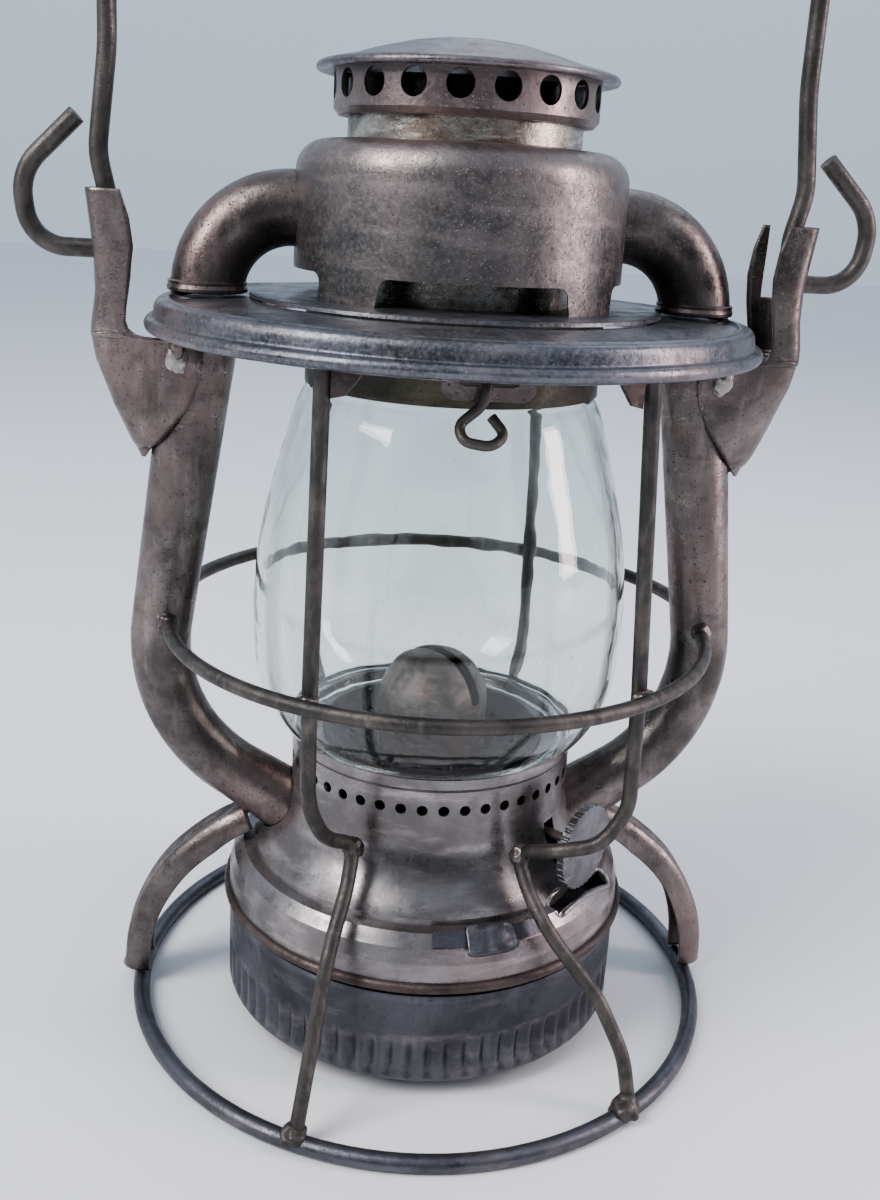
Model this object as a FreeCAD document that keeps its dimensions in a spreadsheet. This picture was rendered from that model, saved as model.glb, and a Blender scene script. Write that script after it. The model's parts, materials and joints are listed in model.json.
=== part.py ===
import FreeCAD, Part
import math
import os
import Sketcher

# Railway hand lantern: a wire-caged tubular lantern with a glass globe, a drop-out fount,
# a lift-off top and a wire bail.  Origin on the ground under the lantern's axis, +Z up,
# the front towards -Y and the two side tubes along X.  Millimetres throughout.

V = FreeCAD.Vector
doc = FreeCAD.newDocument("railway_lantern")
sheet = doc.addObject("Spreadsheet::Sheet", "dims")

DIMS = {
    "metal": 0.9,
    "ring_radius": 82.4, "ring_wire": 2.35, "ring_level": 2.1,
    "guard_wire": 1.9, "hoop_radius": 73.3, "hoop_front_level": 114.3, "hoop_rear_level": 117.0,
    "bail_wire": 2.3, "bail_axis_level": 209.5, "bail_top": 372.0, "bail_half_width": 84.5,
    "bail_corner": 62.0, "bail_pin_bend": 3.8,
    "neck_radius": 39.5, "neck_top": 80.6, "neck_bottom": 66.0, "flare_radius": 17.0,
    "ledge_radius": 49.8, "ledge_level": 49.6, "shoulder_radius": 53.0, "shoulder_level": 47.7,
    "skirt_radius": 57.0, "skirt_bottom": 35.4,
    "bead_radius": 57.05, "bead_wire": 1.45, "bead_level": 34.1,
    "air_hole": 1.45, "air_hole_level": 75.3, "air_hole_count": 44,
    "seat_hole": 31.5, "seat_lip_top": 84.2,
    "tube_top_level": 198.7, "tube_top_x": 62.9, "tube_top_radius": 9.3,
    "tube_corner_x": 79.5, "tube_corner_level": 84.2, "tube_bend": 46.0, "tube_low_radius": 8.1,
    "tube_end_x": 38.6, "tube_end_level": 56.6, "tube_end_radius": 9.3,
    "plate_radius": 78.3, "plate_top": 200.0, "plate_opening": 51.5, "plate_rim_low": 191.5,
    "ear_half_depth": 10.3, "ear_sheet": 0.85, "ear_hole": 2.95,
    "lid_radius": 52.5, "lid_bottom": 200.3, "lid_top": 201.3,
    "drum_radius": 41.4, "drum_top": 238.6, "drum_shoulder": 7.5, "window_top": 207.8,
    "window_half": 22.0, "flue_radius": 29.0, "flue_top": 252.4,
    "elbow_radius": 9.2, "elbow_bend": 21.2, "elbow_level": 200.4, "collar_height": 3.0,
    "cap_radius": 32.6, "cap_low": 243.6, "cap_high": 254.6, "cap_hole": 3.2,
    "cap_hole_level": 250.3, "cap_hole_count": 19, "brim_radius": 37.0, "crown_top": 262.5,
    "hood_radius": 38.2, "hood_low": 179.6,
    "globe_low": 82.0, "globe_high": 190.4, "globe_max": 50.9, "globe_max_level": 119.0,
    "globe_foot_radius": 37.6, "globe_neck_radius": 36.3, "glass": 2.2,
    "fount_radius": 57.0, "fount_low": 5.0, "fount_step": 31.4, "fount_inner_radius": 55.2,
    "fount_high": 44.8, "collar_radius": 17.0, "collar_top": 52.0,
    "burner_radius": 14.0, "burner_plate_radius": 31.0, "burner_plate_level": 82.0,
    "dome_radius": 15.4, "dome_centre": 90.6,
    "wick_width": 15.0, "wick_thick": 1.6, "wick_low": 16.0, "wick_high": 99.0,
    "wick_tube_low": 46.0, "wick_tube_high": 96.0,
    "shaft_turn": 46.5, "shaft_offset": 3.4, "shaft_level": 61.5, "shaft_wire": 1.3,
    "knob_near": 50.0, "knob_far": 52.2, "knob_radius": 11.8, "wheel_radius": 2.45,
    "leg_outer": 6.2, "leg_inner": 5.2, "leg_bend": 49.0,
}

for row, (name, number) in enumerate(DIMS.items(), start=1):
    sheet.set("A%d" % row, name)
    sheet.set("B%d" % row, "%g" % number)
    sheet.setAlias("B%d" % row, name)
doc.recompute()


class Size:
    """A length that knows its number and the sheet expression it comes from."""

    def __init__(self, text, number):
        self.text = text
        self.number = float(number)

    def _join(self, sign, other, number):
        text = other.text if isinstance(other, Size) else "%g" % other
        return Size("(%s %s %s)" % (self.text, sign, text), number)

    def __add__(self, other):
        return self._join("+", other, self.number + num(other))

    def __sub__(self, other):
        return self._join("-", other, self.number - num(other))

    def __mul__(self, other):
        return self._join("*", other, self.number * num(other))

    def __neg__(self):
        return Size("(0 - %s)" % self.text, -self.number)


def num(value):
    return value.number if isinstance(value, Size) else float(value)


def dim(name):
    return Size("dims.%s" % name, DIMS[name])


def bind(obj, prop, value):
    """Bind a property to the sheet, or set it when it is a plain number."""
    if isinstance(value, Size):
        obj.setExpression(prop, value.text)
    else:
        setattr(obj, prop, value)


PARTS = []


def finish(obj, label):
    obj.Label = label
    PARTS.append((label, obj))
    return obj


def new_body(name):
    return doc.addObject("PartDesign::Body", name)


def new_sketch(body, name, role, at=None, turn=None):
    """A sketch on one of the body's origin planes, moved by at and turned by turn."""
    sketch = body.newObject("Sketcher::SketchObject", name)
    plane = [f for f in body.Origin.OriginFeatures if f.Role == role][0]
    sketch.AttachmentSupport = [(plane, "")]
    sketch.MapMode = "FlatFace"
    if at is not None or turn is not None:
        place = at if at is not None else V(0, 0, 0)
        spin = turn if turn is not None else FreeCAD.Rotation()
        sketch.AttachmentOffset = FreeCAD.Placement(place, spin)
    return sketch


def hold(sketch, index, end, x, y):
    """Fix one end of a sketch element at (x, y), bound to the sheet where it can be."""
    for kind, value, axis in (("DistanceX", x, -2), ("DistanceY", y, -1)):
        if abs(num(value)) < 1e-9:
            sketch.addConstraint(Sketcher.Constraint("PointOnObject", index, end, axis))
            continue
        number = sketch.addConstraint(
            Sketcher.Constraint(kind, -1, 1, index, end, num(value)))
        if isinstance(value, Size):
            sketch.setExpression("Constraints[%d]" % number, value.text)


def arc_between(first, second, radius):
    """An anticlockwise arc of the signed radius between two points, and its start's index.

    A positive radius bulges to the right of the way from first to second.
    """
    p0 = V(num(first[0]), num(first[1]), 0)
    p1 = V(num(second[0]), num(second[1]), 0)
    chord = p1 - p0
    size = abs(num(radius))
    rise = math.sqrt(max(size * size - chord.Length ** 2 / 4.0, 0.0))
    left = V(-chord.y, chord.x, 0) * (1.0 / chord.Length)
    side = 1.0 if num(radius) > 0 else -1.0
    centre = (p0 + p1) * 0.5 + left * (rise * side)
    start, stop = (p0, p1) if side > 0 else (p1, p0)
    a0 = math.atan2(start.y - centre.y, start.x - centre.x)
    a1 = math.atan2(stop.y - centre.y, stop.x - centre.x)
    if a1 < a0:
        a1 += 2 * math.pi
    circle = Part.Circle(centre, V(0, 0, 1), size)
    return Part.ArcOfCircle(circle, a0, a1), side > 0


def outline(sketch, points, arcs=None, closed=True):
    """Draw a chain of lines (and arcs, by segment number) through the bound points."""
    arcs = arcs or {}
    ends = []
    count = len(points) if closed else len(points) - 1
    for i in range(count):
        first = points[i]
        second = points[(i + 1) % len(points)]
        if i in arcs:
            shape, forward = arc_between(first, second, arcs[i])
            index = sketch.addGeometry(shape, False)
            ends.append((index, 1, 2) if forward else (index, 2, 1))
            radius = sketch.addConstraint(
                Sketcher.Constraint("Radius", index, abs(num(arcs[i]))))
            if isinstance(arcs[i], Size):
                sketch.setExpression("Constraints[%d]" % radius, "abs(%s)" % arcs[i].text)
        else:
            line = Part.LineSegment(V(num(first[0]), num(first[1]), 0),
                                    V(num(second[0]), num(second[1]), 0))
            ends.append((sketch.addGeometry(line, False), 1, 2))
    for i, (index, begin, end) in enumerate(ends):
        hold(sketch, index, begin, *points[i])
        if closed or i + 1 < len(ends):
            follower = ends[(i + 1) % len(ends)]
            sketch.addConstraint(
                Sketcher.Constraint("Coincident", index, end, follower[0], follower[1]))
        else:
            hold(sketch, index, end, *points[i + 1])


def ring_sketch(sketch, x, y, radius, inner=None):
    """One circle, or two concentric ones, with bound centre and radii."""
    for size in (radius, inner):
        if size is None:
            continue
        circle = Part.Circle(V(num(x), num(y), 0), V(0, 0, 1), num(size))
        index = sketch.addGeometry(circle, False)
        number = sketch.addConstraint(Sketcher.Constraint("Radius", index, num(size)))
        if isinstance(size, Size):
            sketch.setExpression("Constraints[%d]" % number, size.text)
        hold(sketch, index, 3, x, y)


def turned(label, points, arcs=None, arc_span=None):
    """A solid of revolution about +Z from a closed (radius, level) profile."""
    body = new_body(label + "_body")
    sketch = new_sketch(body, label + "_profile", "XZ_Plane")
    outline(sketch, points, arcs)
    solid = body.newObject("PartDesign::Revolution", label + "_turn")
    solid.Profile = sketch
    solid.ReferenceAxis = (sketch, ["V_Axis"])
    solid.Angle = arc_span if arc_span else 360.0
    body.Tip = solid
    return body


def pad(body, sketch, name, length, centred=False, reverse=False):
    solid = body.newObject("PartDesign::Pad", name)
    solid.Profile = sketch
    bind(solid, "Length", length)
    solid.Midplane = centred
    solid.Reversed = reverse
    body.Tip = solid
    return solid


def pocket(body, sketch, name, length, centred=False, reverse=False):
    cut = body.newObject("PartDesign::Pocket", name)
    cut.Profile = sketch
    bind(cut, "Length", length)
    cut.Midplane = centred
    cut.Reversed = reverse
    body.Tip = cut
    doc.recompute()
    return cut


def polar(body, feature, name, count):
    """Repeat a feature round +Z."""
    pattern = body.newObject("PartDesign::PolarPattern", name)
    pattern.Originals = [feature]
    axis = [f for f in body.Origin.OriginFeatures if f.Role == "Z_Axis"][0]
    pattern.Axis = (axis, [""])
    pattern.Angle = 360.0
    bind(pattern, "Occurrences", count)
    body.Tip = pattern
    return pattern


def corner_path(points, radii):
    """Straight runs joined by tangent arcs; radii lists one radius for each inner point."""
    edges = []
    here = points[0]
    for i in range(1, len(points) - 1):
        corner = points[i]
        back = (points[i - 1] - corner).normalize()
        ahead = (points[i + 1] - corner).normalize()
        half = back.getAngle(ahead) / 2.0
        reach = radii[i - 1] / math.tan(half)
        start = corner + back * reach
        stop = corner + ahead * reach
        inward = (back + ahead).normalize()
        centre = corner + inward * (radii[i - 1] / math.sin(half))
        middle = centre - inward * radii[i - 1]
        if (start - here).Length > 1e-6:
            edges.append(Part.LineSegment(here, start).toShape())
        edges.append(Part.Arc(start, middle, stop).toShape())
        here = stop
    edges.append(Part.LineSegment(here, points[-1]).toShape())
    return Part.Wire(edges)


def bent_wire(label, points, radii, wire):
    """A round wire bent along a route in space."""
    path = corner_path(points, radii)
    way = (points[1] - points[0]).normalize()
    section = Part.Wire([Part.Circle(points[0], way, num(wire)).toShape()])
    solid = path.makePipeShell([section], True, False)
    expected = math.pi * num(wire) ** 2 * path.Length
    if abs(solid.Volume / expected - 1) > 0.02:
        raise RuntimeError("%s: wire volume %g, expected %g" % (label, solid.Volume, expected))
    obj = doc.addObject("Part::Feature", label + "_wire")
    obj.Shape = solid
    obj.Placement = FreeCAD.Placement()
    return finish(obj, label)


def even_radii(points, share=0.42, least=2.6, most=40.0):
    """A bend radius for each inner point, as large as its shorter run allows."""
    radii = []
    for i in range(1, len(points) - 1):
        back = points[i - 1] - points[i]
        ahead = points[i + 1] - points[i]
        shorter = min(back.Length, ahead.Length)
        turn = math.pi - back.getAngle(ahead)
        radius = share * shorter / math.tan(turn / 2.0) if turn > 1e-4 else most
        radii.append(max(least, min(radius, most)))
    return radii


def turn_z(degrees):
    return FreeCAD.Placement(V(0, 0, 0), FreeCAD.Rotation(V(0, 0, 1), degrees))


def box(name, low, high, place=None):
    solid = doc.addObject("Part::Box", name)
    bind(solid, "Length", high[0] - low[0])
    bind(solid, "Width", high[1] - low[1])
    bind(solid, "Height", high[2] - low[2])
    corner = V(num(low[0]), num(low[1]), num(low[2]))
    base = place if place is not None else FreeCAD.Placement()
    solid.Placement = base.multiply(FreeCAD.Placement(corner, FreeCAD.Rotation()))
    return solid


def cut_by(label, base, tools):
    """A boolean cut of a finished solid by one or more tool solids."""
    tool = tools[0]
    if len(tools) > 1:
        tool = doc.addObject("Part::MultiFuse", label + "_tools")
        tool.Shapes = tools
    cut = doc.addObject("Part::Cut", label + "_cut")
    cut.Base = base
    cut.Tool = tool
    return cut


metal = dim("metal")
SHAFT_FRAME = turn_z(DIMS["shaft_turn"] - 90.0)

# ---------------------------------------------------------------- wire base and cage
torus = doc.addObject("Part::Torus", "ring_torus")
bind(torus, "Radius1", dim("ring_radius"))
bind(torus, "Radius2", dim("ring_wire"))
torus.setExpression("Placement.Base.z", "dims.ring_level")
floor_cut = box("ring_floor", (-100.0, -100.0, -10.0), (100.0, 100.0, 0.0))
finish(cut_by("base_ring", torus, [floor_cut]), "base_ring")


def half_channel(label, side):
    """A leg: a stamped half-round channel that curves from the body down over the ring."""
    body = new_body(label + "_body")
    spine = new_sketch(body, label + "_spine", "XZ_Plane")
    top = (50.6, 52.4)
    foot_level = 9.0
    outline(spine, [top, (dim("ring_radius") - 0.2, foot_level),
                    (dim("ring_radius") - 0.2, 2.2)], {0: -dim("leg_bend")}, closed=False)
    way = FreeCAD.Rotation(V(1, 0, 0), 180)
    section = new_sketch(body, label + "_section", "XY_Plane",
                         V(DIMS["ring_radius"] - 0.2, 0, 2.2), way)
    out = dim("leg_outer")
    inn = dim("leg_inner")
    depth = 3.6
    outline(section, [(-depth, -out), (0, -out), (0, out), (-depth, out), (-depth, inn),
                      (0, inn), (0, -inn), (-depth, -inn)],
            {1: out * 1.04, 5: -(inn * 1.05)})
    pipe = body.newObject("PartDesign::AdditivePipe", label + "_sweep")
    pipe.Profile = section
    pipe.Spine = (spine, [])
    body.Tip = pipe
    body.Placement = turn_z(0 if side > 0 else 180)
    return finish(body, label)


half_channel("leg_right", 1)
half_channel("leg_left", -1)

# Guard wires: down from the guard plate, in to the neck, out over the bead, on to the ring.
WIRE_TOP = 198.2
front_left = [V(-34.2, -60.8, WIRE_TOP), V(-35.4, -59.6, 114.0), V(-35.3, -56.5, 86.0),
              V(-31.0, -48.5, 72.5), V(-22.9, -38.6, 65.6), V(-24.6, -45.6, 56.6),
              V(-29.0, -56.8, 46.0), V(-36.2, -72.6, 5.0)]
front_right = [V(37.2, -58.7, WIRE_TOP), V(43.9, -53.6, 114.0), V(45.2, -51.6, 82.0),
               V(38.5, -52.4, 72.6), V(29.0, -49.6, 69.6), V(19.9, -40.2, 64.0),
               V(22.4, -47.0, 55.8), V(27.4, -55.4, 48.4), V(41.0, -57.6, 31.0),
               V(48.4, -61.4, 15.5), V(49.8, -64.6, 5.2)]
rear_right = [V(36.0, 59.6, WIRE_TOP), V(36.8, 59.1, 114.0), V(36.4, 56.0, 86.0),
              V(31.5, 48.5, 72.5), V(22.4, 39.0, 65.4), V(24.2, 46.2, 56.4),
              V(28.6, 57.2, 46.0), V(36.4, 72.4, 5.0)]
rear_left = [V(-p.x, p.y, p.z) for p in rear_right]
for label, route in (("guard_wire_front_left", front_left),
                     ("guard_wire_front_right", front_right),
                     ("guard_wire_rear_left", rear_left),
                     ("guard_wire_rear_right", rear_right)):
    bent_wire(label, route, even_radii(route), dim("guard_wire"))


def hoop(label, level, front):
    """Half a hoop of guard wire, soldered to the side tubes and the upright wires."""
    arc = doc.addObject("Part::Torus", label + "_arc")
    bind(arc, "Radius1", dim("hoop_radius"))
    bind(arc, "Radius2", dim("guard_wire"))
    arc.Angle3 = 170.0
    start = 185.0 if front else 5.0
    arc.Placement = FreeCAD.Placement(V(0, 0, 0), FreeCAD.Rotation(V(0, 0, 1), start))
    arc.setExpression("Placement.Base.z", level.text)
    return finish(arc, label)


hoop("guard_hoop_front", dim("hoop_front_level"), True)
hoop("guard_hoop_rear", dim("hoop_rear_level"), False)


def wire_tab(label, top, side):
    """A triangular sheet tab under the guard plate, beside the top of a guard wire."""
    body = new_body(label + "_body")
    sketch = new_sketch(body, label + "_face", "XZ_Plane")
    outline(sketch, [(0, 198.4), (-8.6 * side, 198.4), (-7.4 * side, 190.5),
                     (-3.2 * side, 185.4), (0, 184.6)])
    pad(body, sketch, label + "_pad", 1.1, centred=True)
    heading = math.degrees(math.atan2(top.y, top.x)) + 90.0
    out = V(top.x, top.y, 0).normalize()
    along = V(math.cos(math.radians(heading)), math.sin(math.radians(heading)), 0)
    place = V(top.x, top.y, 0) - along * (1.9 * side) - out * 0.4
    body.Placement = FreeCAD.Placement(place, FreeCAD.Rotation(V(0, 0, 1), heading))
    return finish(body, label)


wire_tab("guard_tab_front_left", front_left[0], -1)
wire_tab("guard_tab_front_right", front_right[0], 1)
wire_tab("guard_tab_rear_left", rear_left[0], 1)
wire_tab("guard_tab_rear_right", rear_right[0], -1)


def ring_clip(label, foot, spin):
    """The curled end of a guard wire, closed round the base ring."""
    curl = doc.addObject("Part::Torus", label + "_curl")
    curl.Radius1 = 3.9
    curl.Radius2 = 1.45
    heading = math.degrees(math.atan2(foot.y, foot.x))
    out = V(foot.x, foot.y, 0).normalize()
    at = out * (DIMS["ring_radius"] - 0.1) + V(0, 0, 5.4)
    face = FreeCAD.Rotation(V(0, 0, 1), heading + spin)
    face = face.multiply(FreeCAD.Rotation(V(1, 0, 0), 90))
    curl.Placement = FreeCAD.Placement(at, face)
    return finish(curl, label)


ring_clip("wire_curl_front_left", V(-38.4, -72.6, 0), 0)
ring_clip("wire_curl_front_right", V(46.6, -67.4, 0), 0)
ring_clip("wire_curl_rear_left", V(-38.8, 72.2, 0), 0)
ring_clip("wire_curl_rear_right", V(38.8, 72.2, 0), 0)

# ---------------------------------------------------------------- body shell and side tubes
neck = dim("neck_radius")
ledge = dim("ledge_radius")
skirt = dim("skirt_radius")
shell = turned("body_shell", [
    (neck, dim("neck_top")), (neck, dim("neck_bottom")), (ledge, dim("ledge_level")),
    (ledge + 0.3, dim("shoulder_level") + 0.4), (dim("shoulder_radius"), dim("shoulder_level")),
    (skirt - 1.4, 44.6), (skirt - 0.3, 40.6), (skirt, dim("skirt_bottom")),
    (skirt - metal, dim("skirt_bottom")), (skirt - 0.3 - metal, 40.4), (skirt - 2.2, 44.2),
    (dim("shoulder_radius") - 0.4, dim("shoulder_level") - metal),
    (ledge - 0.3, dim("shoulder_level") - metal + 0.3), (ledge - 0.9, dim("ledge_level")),
    (neck - metal, dim("neck_bottom") - 0.4), (neck - metal, dim("neck_top"))],
    {1: dim("flare_radius") * 1.35, 13: -dim("flare_radius") * 1.35})
hole_sketch = new_sketch(shell, "air_hole_sketch", "XZ_Plane")
ring_sketch(hole_sketch, 0, dim("air_hole_level"), dim("air_hole"))
air_hole = pocket(shell, hole_sketch, "air_hole_pocket", 45.0)
polar(shell, air_hole, "air_holes", dim("air_hole_count"))

corner = V(DIMS["tube_corner_x"], 0, DIMS["tube_corner_level"])
tube_end = V(DIMS["tube_end_x"], 0, DIMS["tube_end_level"])
tube_top = V(DIMS["tube_top_x"], 0, DIMS["tube_top_level"])
down = (corner - tube_top).normalize()
inward = (tube_end - corner).normalize()
reach = DIMS["tube_bend"] * math.tan(down.getAngle(inward) / 2.0)
bend_start = corner - down * reach
bend_stop = corner + inward * reach


def face_along(way):
    """A rotation that carries +Z to the given way in the XZ plane."""
    return FreeCAD.Rotation(V(0, 0, 1), way)


def tube_tool(name, side):
    """A cylinder along the lower run of a side tube, for the opening in the body shell."""
    tool = doc.addObject("Part::Cylinder", name)
    tool.setExpression("Radius", "dims.tube_end_radius + 0.15")
    tool.Height = 40.0
    way = V(-inward.x * side, 0, -inward.z)
    at = V(tube_end.x * side, 0, tube_end.z)
    start = V(at.x, at.y, at.z) - way * 12.0
    tool.Placement = FreeCAD.Placement(start, face_along(way))
    return tool


offset = dim("shaft_offset")
slot = box("shaft_slot", (30.0, offset - 2.5, 44.0), (50.0, offset + 2.5, 65.0), SHAFT_FRAME)
opening = box("knob_opening", (49.3, offset - 12.7, 41.0), (52.9, offset + 12.7, 57.0),
              SHAFT_FRAME)
finish(cut_by("body_shell", shell, [tube_tool("tube_way_right", 1), tube_tool("tube_way_left", -1),
                                    slot, opening]), "body_shell")

bead = doc.addObject("Part::Torus", "bead_torus")
bind(bead, "Radius1", dim("bead_radius"))
bind(bead, "Radius2", dim("bead_wire"))
bead.setExpression("Placement.Base.z", "dims.bead_level")
finish(bead, "rim_bead")

finish(turned("globe_seat", [
    (dim("seat_hole"), dim("neck_top")), (neck, dim("neck_top")), (neck + 0.5, 81.6),
    (neck + 0.3, dim("seat_lip_top")), (neck - 0.7, dim("seat_lip_top")), (neck - 0.6, 81.6),
    (dim("seat_hole"), 81.6)]), "globe_seat")


def side_tube(label, side):
    """A tapered air tube: down from the guard plate, round a bend and into the neck."""
    body = new_body(label + "_body")
    stages = []
    thick = metal
    for mark, shrink in (("skin", 0.0), ("bore", 1.0)):
        extra = 0.4 * shrink
        spots = ((tube_top - down * extra, down, dim("tube_top_radius")),
                 (bend_start, down, dim("tube_low_radius")),
                 (bend_stop, inward, dim("tube_low_radius")),
                 (tube_end + inward * extra, inward, dim("tube_end_radius")))
        sections = []
        for number, (spot, way, radius) in enumerate(spots):
            section = new_sketch(body, "%s_%s_%d" % (label, mark, number), "XY_Plane",
                                 spot, face_along(way))
            ring_sketch(section, 0, 0, radius - thick * shrink)
            sections.append(section)
        spine = new_sketch(body, "%s_%s_bend" % (label, mark), "XZ_Plane")
        bulge = dim("tube_bend")
        outline(spine, [(bend_start.x, bend_start.z), (bend_stop.x, bend_stop.z)],
                {0: -bulge}, closed=False)
        stages.append((mark, sections, spine))
    for mark, sections, spine in stages:
        kind = "Additive" if mark == "skin" else "Subtractive"
        for number, (low, high) in enumerate(((0, 1), (2, 3))):
            loft = body.newObject("PartDesign::%sLoft" % kind,
                                  "%s_%s_run%d" % (label, mark, number))
            loft.Profile = sections[low]
            loft.Sections = [sections[high]]
            loft.Ruled = True
            body.Tip = loft
            if number == 0:
                pipe = body.newObject("PartDesign::%sPipe" % kind, "%s_%s_pipe" % (label, mark))
                pipe.Profile = sections[1]
                pipe.Spine = (spine, [])
                body.Tip = pipe
    body.Placement = turn_z(0 if side > 0 else 180)
    return finish(body, label)


side_tube("side_tube_right", 1)
side_tube("side_tube_left", -1)

# ---------------------------------------------------------------- guard plate and ears
rim = dim("plate_radius")
top = dim("plate_top")
low = dim("plate_rim_low")
plate = turned("guard_plate", [
    (dim("plate_opening"), top), (rim - 5.2, top - 0.5), (rim - 3.1, top - 1.5),
    (rim - 2.4, top - 3.2), (rim - 2.3, low + 3.3), (rim - 0.5, low + 2.8), (rim, low + 1.5),
    (rim - 0.5, low + 0.2), (rim - 1.6, low), (rim - 2.6, low + 0.6), (rim - 3.3, low + 2.6),
    (rim - 3.4, top - 3.4), (rim - 3.9, top - 2.2), (rim - 5.6, top - 1.5),
    (dim("plate_opening"), top - 1.0)])
passage_sketch = new_sketch(plate, "passage_sketch", "XY_Plane", V(0, 0, 190))
for side in (1, -1):
    ring_sketch(passage_sketch, dim("tube_top_x") * side, 0, dim("tube_top_radius") + 0.15)
pocket(plate, passage_sketch, "passages", 20.0, reverse=True)
finish(plate, "guard_plate")


def ear(label, side):
    """A bail ear: a sheet channel wrapped on the side tube, open towards the lantern."""
    body = new_body(label + "_body")
    face = new_sketch(body, label + "_outline", "XZ_Plane")
    outer = [(92.6, 223.8), (91.4, 216.0), (90.5, 209.0), (90.4, 200.0), (91.8, 192.0),
             (91.2, 183.0), (85.9, 171.7), (80.0, 158.0)]
    inner = [(77.6, 159.4), (74.2, 163.5), (67.9, 171.0), (64.4, 177.0), (63.0, 183.0),
             (63.6, 189.2), (83.0, 189.2), (84.0, 191.6), (82.0, 196.5), (80.0, 203.7),
             (79.0, 210.8), (80.1, 217.7), (82.4, 223.8)]
    outline(face, outer + inner)
    depth = dim("ear_half_depth")
    pad(body, face, label + "_pad", depth * 2, centred=True)
    thick = 1.0
    hollow = new_sketch(body, label + "_hollow", "XZ_Plane")
    mouth = [(92.6 - thick, 227.0)] + [(x - thick, z) for x, z in outer[:-1]]
    mouth += [(78.8, 156.0), (55.0, 156.0), (55.0, 227.0)]
    outline(hollow, mouth)
    pocket(body, hollow, label + "_inside", (depth - dim("ear_sheet")) * 2, centred=True)
    eye = new_sketch(body, label + "_eye", "YZ_Plane", V(0, 0, 80))
    ring_sketch(eye, 0, dim("bail_axis_level"), dim("ear_hole"))
    pocket(body, eye, label + "_eye_cut", 30.0, reverse=True)
    trim = new_sketch(body, label + "_trim", "XY_Plane", V(0, 0, 190.4))
    outline(trim, [(60.0, -20.0), (84.6, -20.0), (84.6, -6.0), (60.0, -6.0)])
    pocket(body, trim, label + "_shallow_side", 40.0, reverse=True)
    gap = new_sketch(body, label + "_gap", "XY_Plane", V(0, 0, 203.0))
    rear = 20.0 * side
    near = 83.7 if side > 0 else 76.0
    outline(gap, [(near, 6.0 * side), (90.2, 6.0 * side), (90.2, rear), (near, rear)])
    pocket(body, gap, label + "_swing_way", 30.0, reverse=True)
    body.Placement = turn_z(0 if side > 0 else 180)
    return finish(body, label)


ear("ear_right", 1)
ear("ear_left", -1)

# ---------------------------------------------------------------- bail
axis = DIMS["bail_axis_level"]
half = DIMS["bail_half_width"]
right = [V(93.6, 0, 240.2), V(107.6, 0, 226.5), V(105.6, 0, axis),
         V(86.6, 0, axis), V(86.6, 0, 221.0), V(89.0, 0, 232.0), V(86.0, 0, 256.0),
         V(half, 0, DIMS["bail_top"])]
left = [V(-p.x, p.y, p.z) for p in reversed(right)]
bends = [13.0, 9.6, DIMS["bail_pin_bend"], 16.0, 20.0, 60.0, DIMS["bail_corner"]]
bent_wire("bail", right + left, bends + list(reversed(bends)), dim("bail_wire"))

# ---------------------------------------------------------------- lift-off top
finish(turned("lid_plate", [
    (dim("flue_radius") + 0.1, dim("lid_bottom")), (dim("lid_radius"), dim("lid_bottom")),
    (dim("lid_radius") - 0.2, dim("lid_top") - 0.2), (dim("lid_radius") - 1.0, dim("lid_top")),
    (dim("flue_radius") + 0.1, dim("lid_top"))]), "lid_plate")

wall = dim("drum_radius")
crest = dim("drum_top")
bow = dim("drum_shoulder")
drum = turned("drum", [
    (dim("flue_radius") + 0.1, crest), (wall - bow, crest - 0.4), (wall, crest - 0.4 - bow),
    (wall + 0.2, dim("lid_top")), (wall + 0.2 - metal, dim("lid_top")),
    (wall - metal, crest - 0.4 - bow), (wall - bow, crest - 0.4 - metal),
    (dim("flue_radius") + 0.1, crest - metal)],
    {1: -bow, 5: (bow - metal)})
window_sketch = new_sketch(drum, "window_sketch", "XZ_Plane")
span = dim("window_half")
CORNER = 2.5
window_top = dim("window_top")
outline(window_sketch, [(-span - 1.0, 199.0), (-span, window_top - CORNER),
                        (-span + CORNER, window_top), (span - CORNER, window_top),
                        (span, window_top - CORNER), (span + 1.0, 199.0)],
        {1: -CORNER, 3: -CORNER})
window = pocket(drum, window_sketch, "window_cut", 60.0)
polar(drum, window, "windows", 4)
port_sketch = new_sketch(drum, "port_sketch", "YZ_Plane")
ring_sketch(port_sketch, 0, dim("elbow_level") + dim("elbow_bend"), dim("elbow_radius") + 0.1)
pocket(drum, port_sketch, "ports", 120.0, centred=True)
finish(drum, "drum")


def elbow(label, side):
    """A quarter-turn air pipe from the drum's side down to the top of a side tube."""
    body = new_body(label + "_body")
    bend = dim("elbow_bend")
    level = dim("elbow_level")
    foot_x = dim("tube_top_x")
    section = new_sketch(body, label + "_section", "XY_Plane", V(0, 0, DIMS["elbow_level"]))
    ring_sketch(section, foot_x, 0, dim("elbow_radius"), dim("elbow_radius") - metal)
    spine = new_sketch(body, label + "_spine", "XZ_Plane")
    outline(spine, [(foot_x, level), (foot_x - bend, level + bend), (39.6, level + bend)],
            {0: bend}, closed=False)
    pipe = body.newObject("PartDesign::AdditivePipe", label + "_sweep")
    pipe.Profile = section
    pipe.Spine = (spine, [])
    body.Tip = pipe
    body.Placement = turn_z(0 if side > 0 else 180)
    return finish(body, label)


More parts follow.
